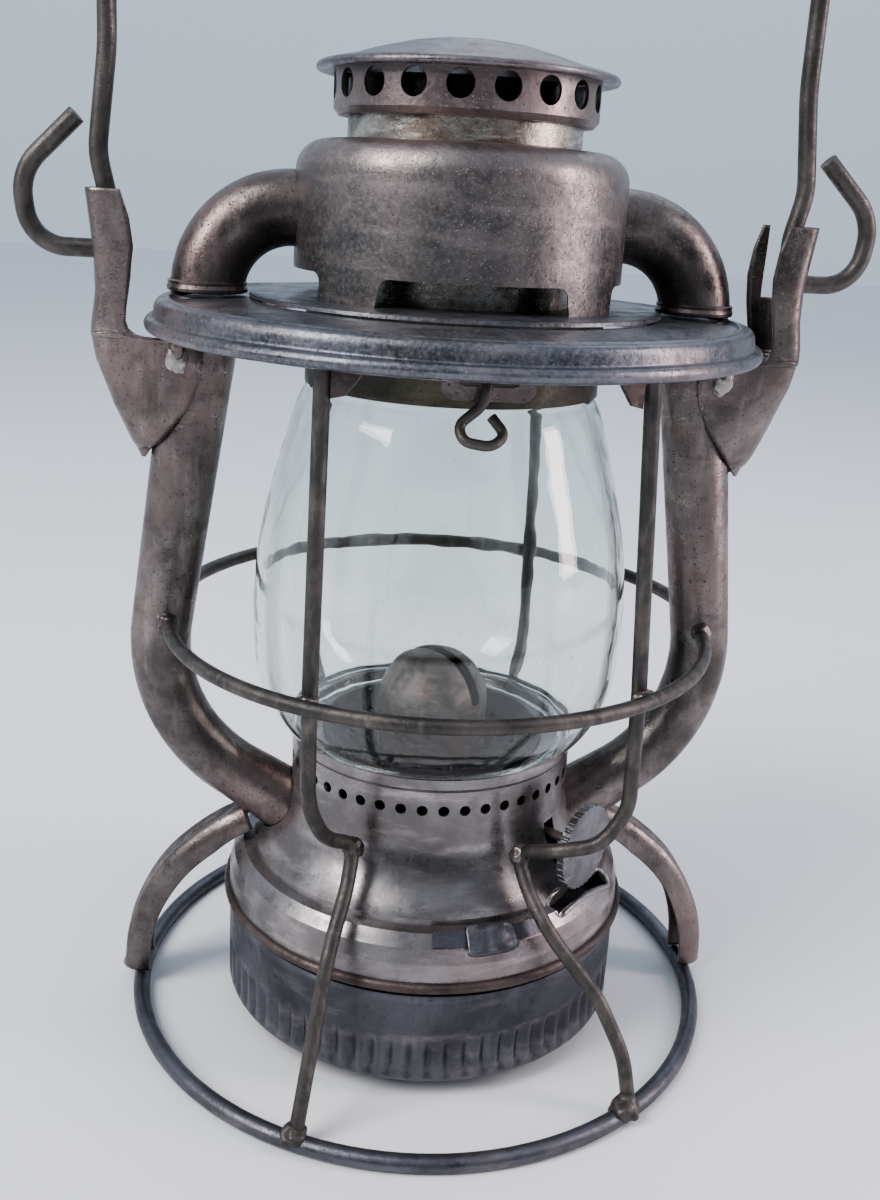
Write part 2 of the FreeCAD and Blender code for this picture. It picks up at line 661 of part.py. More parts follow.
def collar(label, side):
    """The rolled ferrule round the foot of an elbow."""
    body = turned(label, [
        (dim("elbow_radius") + 0.02, 0), (dim("elbow_radius") + 0.75, 0.3),
        (dim("elbow_radius") + 0.9, 1.0), (dim("elbow_radius") + 0.55, 1.9),
        (dim("elbow_radius") + 0.7, dim("collar_height") - 0.4),
        (dim("elbow_radius") + 0.02, dim("collar_height"))])
    body.setExpression("Placement.Base.x", "dims.tube_top_x * %d" % side)
    body.setExpression("Placement.Base.z", "dims.elbow_level")
    return finish(body, label)


for name, side in (("right", 1), ("left", -1)):
    elbow("elbow_%s" % name, side)
    collar("elbow_collar_%s" % name, side)

flue = dim("flue_radius")
finish(turned("chimney_band", [
    (flue - metal, dim("lid_bottom")), (flue, dim("lid_bottom")), (flue, dim("flue_top")),
    (flue - metal, dim("flue_top"))]), "chimney_band")

cap_r = dim("cap_radius")
cap_ring = turned("cap_ring", [
    (flue + 0.05, dim("cap_low")), (cap_r - 1.2, dim("cap_low") + 0.2),
    (cap_r, dim("cap_low") + 1.6), (cap_r, dim("cap_high")), (cap_r - metal, dim("cap_high")),
    (cap_r - metal, dim("cap_low") + 1.9), (cap_r - 1.6, dim("cap_low") + 1.1),
    (flue + 0.05, dim("cap_low") + 0.9)])
vent_sketch = new_sketch(cap_ring, "vent_sketch", "XZ_Plane")
ring_sketch(vent_sketch, 0, dim("cap_hole_level"), dim("cap_hole"))
vent = pocket(cap_ring, vent_sketch, "vent_cut", 40.0)
polar(cap_ring, vent, "vents", dim("cap_hole_count"))
finish(cap_ring, "cap_ring")

brim = dim("brim_radius")
crown = dim("crown_top")
finish(turned("cap_dome", [
    (0, crown), (8.0, crown - 0.5), (17.5, crown - 2.0), (24.0, crown - 3.6),
    (29.0, crown - 5.2), (brim - 2.0, crown - 6.6), (brim - 0.4, crown - 7.4),
    (brim, crown - 8.3), (brim - 0.6, crown - 9.2), (brim - 1.6, crown - 8.8),
    (cap_r + 0.3, crown - 7.9), (29.0, crown - 6.2), (24.0, crown - 4.6),
    (17.5, crown - 3.0), (0, crown - 1.5)]), "cap_dome")

hood = dim("hood_radius")
finish(turned("globe_hood", [
    (hood - metal, dim("hood_low")), (hood, dim("hood_low")), (hood, dim("lid_bottom") - 0.9),
    (hood + 3.0, dim("lid_bottom") - 0.9), (hood + 3.0, dim("lid_bottom")),
    (hood - metal, dim("lid_bottom"))]), "globe_hood")

# ---------------------------------------------------------------- globe
glass = dim("glass")
foot = dim("globe_foot_radius")
neck_g = dim("globe_neck_radius")
wide = dim("globe_max")
low_g = dim("globe_low")
high_g = dim("globe_high")
body = new_body("globe_body")
sketch = new_sketch(body, "globe_profile", "XZ_Plane")
skin = [(foot, low_g), (foot + 0.6, low_g + 2.6), (45.4, 88.6), (49.4, 99.5),
        (wide, dim("globe_max_level")), (49.8, 137.0), (46.9, 152.0), (42.4, 167.0),
        (38.9, 177.4), (neck_g + 0.3, 179.2), (neck_g, high_g)]
cave = [(neck_g - glass, high_g), (neck_g + 0.3 - glass, 178.4), (36.8, 176.6), (40.2, 166.4),
        (44.7, 151.4), (47.6, 136.6),
        (wide - glass, dim("globe_max_level")), (47.2, 100.0), (43.6, 89.9),
        (foot - 1.6, low_g + 4.0), (foot - glass, low_g)]
outline(sketch, skin + cave)
solid = body.newObject("PartDesign::Revolution", "globe_turn")
solid.Profile = sketch
solid.ReferenceAxis = (sketch, ["V_Axis"])
solid.Angle = 360.0
body.Tip = solid
finish(body, "globe")

# ---------------------------------------------------------------- latch under the plate
body = new_body("latch_plate_body")
sketch = new_sketch(body, "latch_face", "XZ_Plane", V(0, 0, 62.0))
outline(sketch, [(-9.3, 198.6), (-9.3, 188.3), (-6.3, 185.3), (8.3, 185.3), (11.3, 188.3),
                 (11.3, 198.6), (8.0, 198.6), (8.0, 190.6), (5.8, 188.4), (-3.8, 188.4),
                 (-6.0, 190.6), (-6.0, 198.6)], {1: 3.0, 3: 3.0, 7: -2.2, 9: -2.2})
pad(body, sketch, "latch_pad", 1.1, centred=True)
finish(body, "latch_plate")

latch_route = [V(0.2, -56.8, 192.6), V(0.0, -62.6, 193.0), V(0.4, -65.6, 188.8),
               V(-0.6, -65.4, 184.8), V(-5.6, -65.8, 180.6), V(-4.6, -68.4, 177.6),
               V(1.4, -69.2, 176.8), V(4.6, -67.0, 179.0), V(1.6, -64.6, 182.4)]
latch_bends = even_radii(latch_route, share=0.44, least=1.5)
bent_wire("latch_wire", latch_route, latch_bends, 1.15)

# ---------------------------------------------------------------- catch on the shoulder
slope = math.atan2(47.7 - 44.6, 55.6 - 53.0)


def band_profile(near, far, lead, tail):
    """A slim four-sided section lying along the shoulder, near to far from its face."""
    way = V(math.cos(slope), -math.sin(slope), 0)
    out = V(math.sin(slope), math.cos(slope), 0)
    root = V(53.0, 47.7, 0)
    corners = [root + way * lead + out * near, root + way * tail + out * near,
               root + way * tail + out * far, root + way * lead + out * far]
    return [(c.x, c.y) for c in corners]


def band(label, profile, start, sweep):
    """A strip that follows the shoulder round the axis from one bearing to another."""
    body = turned(label, profile, None, sweep)
    body.Placement = turn_z(start)
    return body


FRONT = -90.0
finish(band("catch_strip", band_profile(0.35, 1.05, -0.4, 3.6), FRONT - 3.0, 35.0),
       "catch_strip")
keeper_roof = band("keeper_roof", band_profile(1.35, 2.15, -1.6, 5.0), FRONT + 6.0, 14.0)
keeper_low = band("keeper_low", band_profile(0.05, 1.36, 3.95, 5.0), FRONT + 6.0, 14.0)
keeper_high = band("keeper_high", band_profile(0.05, 1.36, -1.6, -0.75), FRONT + 6.0, 14.0)
keeper = doc.addObject("Part::MultiFuse", "keeper_fuse")
keeper.Shapes = [keeper_roof, keeper_low, keeper_high]
finish(keeper, "catch_keeper")

# ---------------------------------------------------------------- fount and burner
outer = dim("fount_radius")
inner = dim("fount_inner_radius")
tin = 0.8
high = dim("fount_high")
finish(turned("fount_shell", [
    (outer, dim("fount_low")), (outer, dim("fount_step")), (inner, dim("fount_step") + 0.9),
    (inner, 38.4), (51.6, 42.0), (30.0, high - 0.4), (dim("collar_radius"), high),
    (dim("collar_radius"), high - tin), (30.0, high - 1.2), (51.2, 41.2), (inner - tin, 38.0),
    (inner - tin, dim("fount_step") + 0.4), (outer - tin, dim("fount_step") - 0.6),
    (outer - tin, dim("fount_low"))]), "fount_shell")
finish(turned("fount_bottom", [
    (0, 8.2), (outer - 6.0, 7.6), (outer - 3.0, dim("fount_low") + 0.9),
    (outer - tin, dim("fount_low") + 0.2), (outer - tin, dim("fount_low") + 1.2),
    (outer - 2.6, dim("fount_low") + 2.1), (outer - 5.8, 8.8), (0, 9.2)]), "fount_bottom")
finish(turned("burner_collar", [
    (9.05, high - 2.0), (dim("collar_radius") - 0.1, high - 2.0),
    (dim("collar_radius") - 0.1, high + 0.2), (dim("collar_radius") + 0.9, high + 0.4),
    (dim("collar_radius") + 0.9, dim("collar_top")), (9.05, dim("collar_top"))]),
    "burner_collar")

plate_z = dim("burner_plate_level")
flare_top = plate_z - 5.3
burner = turned("burner_body", [
    (dim("burner_radius") - metal, dim("collar_top")), (dim("burner_radius"), dim("collar_top")),
    (dim("burner_radius"), flare_top - 5.8), (dim("burner_radius") + 4.0, flare_top),
    (dim("burner_radius") + 3.0, flare_top), (dim("burner_radius") - metal, flare_top - 5.2)])
shaft_way = doc.addObject("Part::Cylinder", "shaft_way")
shaft_way.setExpression("Radius", "dims.shaft_wire + 0.06")
shaft_way.Height = 80.0
shaft_way.Placement = SHAFT_FRAME.multiply(FreeCAD.Placement(
    V(-4.0, DIMS["shaft_offset"], DIMS["shaft_level"]), face_along(V(1, 0, 0))))
finish(cut_by("burner_body", burner, [shaft_way]), "burner_body")

plate_r = dim("burner_plate_radius")
burner_plate = turned("burner_plate", [
    (dim("dome_radius") - 2.6, plate_z - 6.6), (plate_r - 3.0, plate_z - 1.0),
    (plate_r, plate_z + 0.4), (plate_r, plate_z + 1.6), (plate_r - 3.0, plate_z),
    (dim("dome_radius") - 2.6, plate_z - 5.6)])
draught_sketch = new_sketch(burner_plate, "draught_sketch", "XY_Plane", V(0, 0, 75))
ring_sketch(draught_sketch, 23.0, 0, 1.3)
draught = pocket(burner_plate, draught_sketch, "draught_cut", 20.0, reverse=True)
polar(burner_plate, draught, "draughts", 24)
finish(burner_plate, "burner_plate")

dome_r = dim("dome_radius")
dome_z = dim("dome_centre")
dome_foot = plate_z - 4.5
dome = turned("burner_dome", [
    (0, dome_z + dome_r), (dome_r, dome_z), (dome_r, dome_foot),
    (dome_r - metal, dome_foot), (dome_r - metal, dome_z), (0, dome_z + dome_r - metal)],
    {0: -dome_r, 4: (dome_r - metal)})
SLIT_LEVEL = 94.6
SLIT_HALF = 1.9
flame_slit = box("flame_slit", (-16.0, -SLIT_HALF, SLIT_LEVEL), (16.0, SLIT_HALF, 110.0),
                 SHAFT_FRAME)
slit_end = doc.addObject("Part::Cylinder", "slit_end")
slit_end.Radius = SLIT_HALF
slit_end.Height = 32.0
slit_end.Placement = SHAFT_FRAME.multiply(FreeCAD.Placement(
    V(-16.0, 0, SLIT_LEVEL), face_along(V(1, 0, 0))))
finish(cut_by("burner_dome", dome, [flame_slit, slit_end]), "burner_dome")

w_half = dim("wick_width") * 0.5
t_half = dim("wick_thick") * 0.5
body = new_body("wick_body")
sketch = new_sketch(body, "wick_section", "XY_Plane", V(0, 0, DIMS["wick_low"]))
outline(sketch, [(-w_half, -t_half), (w_half, -t_half), (w_half, t_half), (-w_half, t_half)])
pad(body, sketch, "wick_pad", dim("wick_high") - dim("wick_low"))
body.Placement = SHAFT_FRAME
finish(body, "wick")

body = new_body("wick_tube_body")
sketch = new_sketch(body, "wick_tube_section", "XY_Plane", V(0, 0, DIMS["wick_tube_low"]))
outline(sketch, [(-w_half - 1.3, -t_half - 1.1), (w_half + 1.3, -t_half - 1.1),
                 (w_half + 1.3, t_half + 1.1), (-w_half - 1.3, t_half + 1.1)])
outline(sketch, [(-w_half - 0.6, -t_half - 0.4), (w_half + 0.6, -t_half - 0.4),
                 (w_half + 0.6, t_half + 0.4), (-w_half - 0.6, t_half + 0.4)])
pad(body, sketch, "wick_tube_pad", dim("wick_tube_high") - dim("wick_tube_low"))
sketch = new_sketch(body, "wheel_window", "XZ_Plane")
outline(sketch, [(-6.4, 57.5), (6.4, 57.5), (6.4, 65.5), (-6.4, 65.5)])
pocket(body, sketch, "wheel_window_cut", 6.0)
body.Placement = SHAFT_FRAME
finish(body, "wick_tube")

shaft = doc.addObject("Part::Cylinder", "shaft_rod")
bind(shaft, "Radius", dim("shaft_wire"))
shaft.setExpression("Height", "dims.knob_far + 8.6")
shaft.Placement = SHAFT_FRAME.multiply(FreeCAD.Placement(
    V(-8.6, DIMS["shaft_offset"], DIMS["shaft_level"]), face_along(V(1, 0, 0))))
finish(shaft, "wick_shaft")


def star_wheel(label, start):
    """A toothed wick wheel on the shaft."""
    body = new_body(label + "_body")
    sketch = new_sketch(body, label + "_section", "YZ_Plane", V(0, 0, start))
    ring_sketch(sketch, offset, dim("shaft_level"), dim("wheel_radius"),
                dim("shaft_wire") + 0.01)
    pad(body, sketch, label + "_pad", 2.0)
    notch = new_sketch(body, label + "_notch", "YZ_Plane", V(0, 0, start))
    for step in range(8):
        angle = math.radians(45.0 * step + 22.5)
        y = DIMS["shaft_offset"] + 2.5 * math.cos(angle)
        z = DIMS["shaft_level"] + 2.5 * math.sin(angle)
        ring_sketch(notch, y, z, 0.5)
    pocket(body, notch, label + "_teeth", 2.0, reverse=True)
    body.Placement = SHAFT_FRAME
    return finish(body, label)


star_wheel("wick_wheel_near", 2.6)
star_wheel("wick_wheel_far", -4.6)

body = new_body("knob_body")
knob_at = V(0, 0, DIMS["knob_near"])
sketch = new_sketch(body, "knob_section", "YZ_Plane", knob_at)
ring_sketch(sketch, offset, dim("shaft_level"), dim("knob_radius"), dim("shaft_wire") + 0.01)
pad(body, sketch, "knob_pad", dim("knob_far") - dim("knob_near"))
grip = new_sketch(body, "knob_notches", "YZ_Plane", knob_at)
KNOB_NOTCHES = 34
NOTCH_RADIUS = 0.55
for step in range(KNOB_NOTCHES):
    angle = 2.0 * math.pi * step / KNOB_NOTCHES
    reach_y = DIMS["shaft_offset"] + (DIMS["knob_radius"] + 0.15) * math.cos(angle)
    reach_z = DIMS["shaft_level"] + (DIMS["knob_radius"] + 0.15) * math.sin(angle)
    ring_sketch(grip, reach_y, reach_z, NOTCH_RADIUS)
pocket(body, grip, "knob_grip", 6.0, reverse=True)
body.Placement = SHAFT_FRAME
finish(body, "knob")

# ---------------------------------------------------------------- checks and export
doc.recompute()
problems = []
for obj in doc.Objects:
    if "Invalid" in obj.State or "Error" in obj.State:
        problems.append("%s is %s" % (obj.Name, obj.State))
for label, obj in PARTS:
    shape = obj.Shape
    if shape.isNull() or not shape.isValid():
        problems.append("%s has a null or invalid shape" % label)
    elif len(shape.Solids) != 1:
        problems.append("%s has %d solids" % (label, len(shape.Solids)))
for label, obj in PARTS:
    if obj.Shape.isNull():
        continue
    bound = obj.Shape.BoundBox
    print("%-24s %9.1f mm3  x %7.1f %7.1f  y %7.1f %7.1f  z %7.1f %7.1f" % (
        label, obj.Shape.Volume, bound.XMin, bound.XMax, bound.YMin, bound.YMax,
        bound.ZMin, bound.ZMax))
if problems:
    raise RuntimeError("; ".join(problems))
os.makedirs("parts", exist_ok=True)
for label, obj in PARTS:
    obj.Shape.exportStep("parts/%s.step" % label)
print("%d parts written" % len(PARTS))
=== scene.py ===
import json
import math

import bmesh
import bpy
from mathutils import Matrix, Vector, noise


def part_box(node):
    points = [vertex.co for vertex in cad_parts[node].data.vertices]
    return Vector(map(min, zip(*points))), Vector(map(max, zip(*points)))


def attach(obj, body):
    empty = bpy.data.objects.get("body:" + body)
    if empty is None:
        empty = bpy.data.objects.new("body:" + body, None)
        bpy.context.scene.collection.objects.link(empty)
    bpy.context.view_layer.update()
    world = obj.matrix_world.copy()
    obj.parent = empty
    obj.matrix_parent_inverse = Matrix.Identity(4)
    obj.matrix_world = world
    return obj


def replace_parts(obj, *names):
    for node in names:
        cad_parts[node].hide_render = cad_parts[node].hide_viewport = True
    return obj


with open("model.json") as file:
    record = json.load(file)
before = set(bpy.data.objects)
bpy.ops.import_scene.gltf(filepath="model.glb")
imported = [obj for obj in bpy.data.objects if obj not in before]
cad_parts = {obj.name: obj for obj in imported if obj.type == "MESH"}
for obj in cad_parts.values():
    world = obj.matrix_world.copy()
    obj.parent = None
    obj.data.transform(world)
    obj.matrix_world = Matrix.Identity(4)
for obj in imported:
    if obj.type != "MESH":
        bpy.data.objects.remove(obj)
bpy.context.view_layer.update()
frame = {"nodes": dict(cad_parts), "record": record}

# Looks of a railway hand lantern: thin aged tinplate, soldered wire and a clear globe.
# Everything is in metres; profiles are written in millimetres and scaled by MM.
MM = 0.001
NODES = frame["nodes"]


def low(node):
    return Vector(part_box(node)[0]) / MM


def high(node):
    return Vector(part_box(node)[1]) / MM


# ------------------------------------------------------------------ node materials
class Shader:
    """A small helper to build one node material around a Principled shader."""

    def __init__(self, name):
        self.material = bpy.data.materials.new(name)
        self.material.use_nodes = True
        self.tree = self.material.node_tree
        self.main = self.tree.nodes["Principled BSDF"]
        self.coords = self.tree.nodes.new("ShaderNodeTexCoord").outputs["Object"]

    def node(self, kind, **values):
        made = self.tree.nodes.new(kind)
        for key, value in values.items():
            setattr(made, key, value)
        return made

    def link(self, start, stop):
        self.tree.links.new(start, stop)

    def stretched(self, scale):
        mapping = self.node("ShaderNodeMapping")
        mapping.inputs["Scale"].default_value = scale
        self.link(self.coords, mapping.inputs["Vector"])
        return mapping.outputs["Vector"]

    def noise(self, scale, detail=4.0, rough=0.55, vector=None, distortion=0.0):
        made = self.node("ShaderNodeTexNoise")
        made.inputs["Scale"].default_value = scale
        made.inputs["Detail"].default_value = detail
        made.inputs["Roughness"].default_value = rough
        made.inputs["Distortion"].default_value = distortion
        self.link(vector or self.coords, made.inputs["Vector"])
        return made.outputs["Fac"]

    def ramp(self, source, start, stop, low_value=0.0, high_value=1.0):
        made = self.node("ShaderNodeMapRange", clamp=True)
        made.interpolation_type = "SMOOTHSTEP"
        made.inputs["From Min"].default_value = start
        made.inputs["From Max"].default_value = stop
        made.inputs["To Min"].default_value = low_value
        made.inputs["To Max"].default_value = high_value
        self.link(source, made.inputs["Value"])
        return made.outputs["Result"]

    def mix(self, factor, first, second, blend="MIX"):
        made = self.node("ShaderNodeMix", data_type="RGBA", blend_type=blend)
        self.link(factor, made.inputs["Factor"])
        for number, colour in ((6, first), (7, second)):
            if isinstance(colour, (tuple, list)):
                made.inputs[number].default_value = (*colour, 1.0)
            else:
                self.link(colour, made.inputs[number])
        return made.outputs[2]

    def sum(self, first, second, weight):
        made = self.node("ShaderNodeMath", operation="MULTIPLY_ADD")
        self.link(second, made.inputs[0])
        made.inputs[1].default_value = weight
        self.link(first, made.inputs[2])
        return made.outputs[0]

    def bump(self, height, distance, strength=1.0):
        made = self.node("ShaderNodeBump")
        made.inputs["Distance"].default_value = distance
        made.inputs["Strength"].default_value = strength
        self.link(height, made.inputs["Height"])
        self.link(made.outputs["Normal"], self.main.inputs["Normal"])


# Grain of sheet turned on a lathe, and of sheet or wire drawn lengthwise.
SPUN = (1.0, 1.0, 5.0)
DRAWN = (4.0, 4.0, 0.9)
# Near-black of charred cloth and of soot; on the flue it is also painted shade inside the cap.
CHAR_AND_SHADE_BLACK = (0.012, 0.011, 0.010)
SOOT = (0.006, 0.0055, 0.005)


def aged_metal(name, base, dark, bright, metallic=0.85, rough=(0.30, 0.55), patch=28.0,
               spots=0.5, dust=None, relief=0.00035, streaks=0.35, grain=SPUN, warm=None,
               soot_and_shade=None, lining=None):
    """Weathered sheet or wire: broad patina, dark pits, pale rubbed streaks and dust.

    Above the level given for soot the metal is painted black: soot, and painted shade where the
    flue is hidden inside the cap; lining is the outer radius and centre level of a dome that is
    black inside."""
    s = Shader(name)
    broad = s.noise(patch, 5.0, 0.62, distortion=0.6)
    middle = s.noise(patch * 6.0, 6.0, 0.65)
    fine = s.noise(patch * 34.0, 5.0, 0.6)
    rubbed = s.noise(patch * 1.6, 4.0, 0.6, s.stretched(grain))
    scored = s.noise(patch * 9.0, 3.0, 0.7, s.stretched(tuple(g * g for g in grain)))
    specks = s.noise(patch * 58.0, 3.0, 0.5)
    colour = s.mix(s.ramp(broad, 0.38, 0.64), base, dark)
    if warm:
        colour = s.mix(s.ramp(s.noise(patch * 0.7, 3.0, 0.5), 0.46, 0.70, 0.0, 0.6), colour, warm)
    colour = s.mix(s.ramp(rubbed, 0.50, 0.74, 0.0, streaks), colour, bright)
    colour = s.mix(s.ramp(scored, 0.55, 0.75, 0.0, 0.35), colour, dark)
    colour = s.mix(s.ramp(middle, 0.52, 0.72, 0.0, 0.55), colour, dark)
    pit_mask = s.ramp(specks, 0.62, 0.70, 0.0, spots)
    colour = s.mix(pit_mask, colour, tuple(0.35 * c for c in dark))
    if dust:
        colour = s.mix(s.ramp(fine, 0.42, 0.66, 0.05, 0.55), colour, dust)
    # Painted shade with soot: the metal is painted black above this level, where it is hidden
    # inside the cap.
    if soot_and_shade:
        split = s.node("ShaderNodeSeparateXYZ")
        s.link(s.coords, split.inputs[0])
        edge = s.sum(split.outputs["Z"], broad, 0.004)
        colour = s.mix(s.ramp(edge, soot_and_shade + 0.001, soot_and_shade + 0.003), colour, CHAR_AND_SHADE_BLACK)
    if lining:
        outer, centre_level = lining
        reach = s.node("ShaderNodeVectorMath", operation="SUBTRACT")
        s.link(s.coords, reach.inputs[0])
        reach.inputs[1].default_value = (0.0, 0.0, centre_level)
        above = s.node("ShaderNodeVectorMath", operation="MAXIMUM")
        s.link(reach.outputs[0], above.inputs[0])
        above.inputs[1].default_value = (-1.0, -1.0, 0.0)
        size = s.node("ShaderNodeVectorMath", operation="LENGTH")
        s.link(above.outputs[0], size.inputs[0])
        inside = s.ramp(size.outputs["Value"], outer - 0.0006, outer - 0.0003, 1.0, 0.0)
        colour = s.mix(inside, colour, SOOT)
    s.link(colour, s.main.inputs["Base Color"])
    s.main.inputs["Metallic"].default_value = metallic
    s.link(s.ramp(s.sum(middle, fine, 0.5), 0.55, 0.95, *rough), s.main.inputs["Roughness"])
    height = s.sum(s.sum(middle, fine, 0.35), pit_mask, -0.6)
    s.bump(height, relief, 0.55)
    return s.material


def globe_glass(name):
    """Clear, faintly green glass with a film of dust and small seeds."""
    s = Shader(name)
    film = s.noise(60.0, 6.0, 0.6, distortion=0.8)
    grit = s.noise(2600.0, 2.0, 0.5)
    s.main.inputs["Base Color"].default_value = (0.93, 0.97, 0.95, 1.0)
    s.main.inputs["Transmission Weight"].default_value = 1.0
    s.main.inputs["IOR"].default_value = 1.47
    s.link(s.ramp(s.sum(film, grit, 0.4), 0.55, 1.1, 0.0, 0.05), s.main.inputs["Roughness"])
    s.bump(s.noise(55.0, 2.0, 0.5), 0.0010, 0.22)
    film_shader = s.node("ShaderNodeBsdfDiffuse")
    film_shader.inputs["Color"].default_value = (0.62, 0.64, 0.64, 1.0)
    split = s.node("ShaderNodeSeparateXYZ")
    s.link(s.coords, split.inputs[0])
    settled = s.ramp(split.outputs["Z"], 0.086, 0.125, 1.0, 0.25)
    grains = s.ramp(s.noise(1500.0, 2.0, 0.5), 0.66, 0.74, 0.0, 0.55)
    haze = s.ramp(film, 0.45, 0.75, 0.01, 0.05)
    cover = s.node("ShaderNodeMath", operation="MULTIPLY")
    s.link(s.sum(haze, grains, 1.0), cover.inputs[0])
    s.link(settled, cover.inputs[1])
    blend = s.node("ShaderNodeMixShader")
    s.link(cover.outputs[0], blend.inputs[0])
    s.link(s.main.outputs[0], blend.inputs[1])
    s.link(film_shader.outputs[0], blend.inputs[2])
    s.link(blend.outputs[0], s.tree.nodes["Material Output"].inputs["Surface"])
    return s.material


def wick_cloth(name):
    """Woven cotton, yellowed, and charred at its top edge."""
    s = Shader(name)
    split = s.node("ShaderNodeSeparateXYZ")
    s.link(s.coords, split.inputs[0])
    weave = s.node("ShaderNodeTexWave", wave_type="BANDS", bands_direction="Z")
    weave.inputs["Scale"].default_value = 420.0
    weave.inputs["Distortion"].default_value = 1.5
    s.link(s.coords, weave.inputs["Vector"])
    cloth = s.mix(weave.outputs["Fac"], (0.42, 0.36, 0.26), (0.60, 0.54, 0.43))
    top = high("wick").z * MM
    charred = s.ramp(split.outputs["Z"], top - 0.006, top - 0.001)
    s.link(s.mix(charred, cloth, CHAR_AND_SHADE_BLACK), s.main.inputs["Base Color"])
    s.main.inputs["Roughness"].default_value = 0.95
    s.bump(weave.outputs["Fac"], 0.0003, 0.8)
    return s.material


def plain_floor(name):
    """Pale, faintly mottled studio floor."""
    s = Shader(name)
    mottle = s.noise(9.0, 4.0, 0.5)
    s.link(s.mix(mottle, (0.76, 0.77, 0.79), (0.82, 0.82, 0.83)), s.main.inputs["Base Color"])
    s.main.inputs["Roughness"].default_value = 0.7
    return s.material


# The cap ring's lower edge: above it the flue is painted black, as soot and painted shade inside
# the cap.
SOOT_AND_SHADE_LEVEL = low("cap_ring").z * MM
DOME_CENTRE_LEVEL = 0.0906
DOME_LINING = (high("burner_dome").x * MM, DOME_CENTRE_LEVEL)
MATERIALS = {
    "tin": aged_metal("tin", (0.205, 0.180, 0.170), (0.080, 0.070, 0.066),
                      (0.43, 0.37, 0.355), rough=(0.24, 0.50), spots=0.7, streaks=0.35,
                      grain=DRAWN, warm=(0.27, 0.20, 0.19)),
    "body_tin": aged_metal("body_tin", (0.285, 0.266, 0.268), (0.150, 0.138, 0.138),
                           (0.54, 0.49, 0.49), rough=(0.24, 0.42), spots=0.22, streaks=0.6,
                           relief=0.00013, warm=(0.37, 0.29, 0.28)),
    "plate_tin": aged_metal("plate_tin", (0.135, 0.142, 0.165), (0.070, 0.073, 0.085),
                            (0.34, 0.31, 0.31), metallic=0.8, rough=(0.26, 0.50), spots=0.5,
                            dust=(0.22, 0.225, 0.24), streaks=0.5, warm=(0.26, 0.19, 0.18)),
    "drum_tin": aged_metal("drum_tin", (0.225, 0.200, 0.192), (0.105, 0.097, 0.095),
                           (0.42, 0.36, 0.35), metallic=0.85, rough=(0.28, 0.52), spots=0.6,
                           dust=(0.22, 0.21, 0.21), streaks=0.5, warm=(0.35, 0.25, 0.24)),
    "flue_tin": aged_metal("flue_tin", (0.50, 0.47, 0.42), (0.16, 0.14, 0.12),
                           (0.86, 0.84, 0.78), rough=(0.18, 0.40), patch=60.0, spots=0.95,
                           streaks=0.8, warm=(0.42, 0.30, 0.24), soot_and_shade=SOOT_AND_SHADE_LEVEL),
    "hood_tin": aged_metal("hood_tin", (0.10, 0.095, 0.065), (0.045, 0.042, 0.034),
                           (0.20, 0.18, 0.14), metallic=0.6, rough=(0.4, 0.6)),
    "fount_tin": aged_metal("fount_tin", (0.135, 0.135, 0.152), (0.070, 0.070, 0.080),
                            (0.27, 0.25, 0.265), metallic=0.85, rough=(0.28, 0.50), spots=0.5,
                            streaks=0.45),
    "wire": aged_metal("wire", (0.110, 0.098, 0.090), (0.055, 0.052, 0.050),
                       (0.25, 0.22, 0.20), metallic=0.7, rough=(0.34, 0.58), patch=60.0,
                       spots=0.6, streaks=0.4, grain=DRAWN),
    "bail_wire": aged_metal("bail_wire", (0.120, 0.108, 0.100), (0.06, 0.055, 0.052),
                            (0.26, 0.235, 0.22), metallic=0.7, rough=(0.34, 0.56), patch=50.0,
                            grain=DRAWN),
    "burner_metal": aged_metal("burner_metal", (0.190, 0.160, 0.148), (0.075, 0.056, 0.050),
                               (0.34, 0.31, 0.30), metallic=0.6, rough=(0.32, 0.56),
                               patch=130.0, spots=0.3, warm=(0.26, 0.115, 0.075),
                               lining=DOME_LINING),
    "burner_dark": aged_metal("burner_dark", (0.042, 0.044, 0.052), (0.020, 0.021, 0.025),
                              (0.10, 0.10, 0.11), metallic=0.5, rough=(0.45, 0.70),
                              patch=70.0, streaks=0.15),
    "knob_metal": aged_metal("knob_metal", (0.215, 0.214, 0.228), (0.120, 0.117, 0.122),
                             (0.37, 0.36, 0.37), rough=(0.30, 0.5), patch=60.0),
    "bead_metal": aged_metal("bead_metal", (0.105, 0.080, 0.076), (0.050, 0.040, 0.038),
                             (0.26, 0.20, 0.19), metallic=0.7, rough=(0.34, 0.6), patch=60.0),
    "glass": globe_glass("glass"),
    "wick_cotton": wick_cloth("wick_cotton"),
    "solder": aged_metal("solder", (0.40, 0.38, 0.36), (0.20, 0.18, 0.17), (0.70, 0.68, 0.66),
                         rough=(0.22, 0.42), patch=90.0, spots=0.5),
}
LOOKS = {"burner_plate": "burner_dark", "burner_body": "burner_dark", "rim_bead": "bead_metal",
         "base_ring": "fount_tin", "catch_strip": "fount_tin", "wick_tube": "burner_dark",
         "guard_tab_front_left": "bead_metal", "guard_tab_front_right": "bead_metal",
         "guard_tab_rear_left": "bead_metal", "guard_tab_rear_right": "bead_metal"}


def wear(obj, slot_name, look=None):
    obj.data.materials.clear()
    obj.data.materials.append(MATERIALS[look or slot_name])


for entry in frame["record"]["subparts"]:
    wear(NODES[entry["node"]], entry["material_slot"], LOOKS.get(entry["node"]))


# ------------------------------------------------------------------ mesh helpers
def add_mesh(name, bm, body, slot_name, look=None, sharp=38.0):
    mesh = bpy.data.meshes.new(name)
    bmesh.ops.recalc_face_normals(bm, faces=bm.faces)
    bm.to_mesh(mesh)
    bm.free()
    mesh.shade_smooth()
    mesh.set_sharp_from_angle(angle=math.radians(sharp))
    obj = bpy.data.objects.new(name, mesh)
    bpy.context.scene.collection.objects.link(obj)
    wear(obj, slot_name, look)
    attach(obj, body)
    return obj


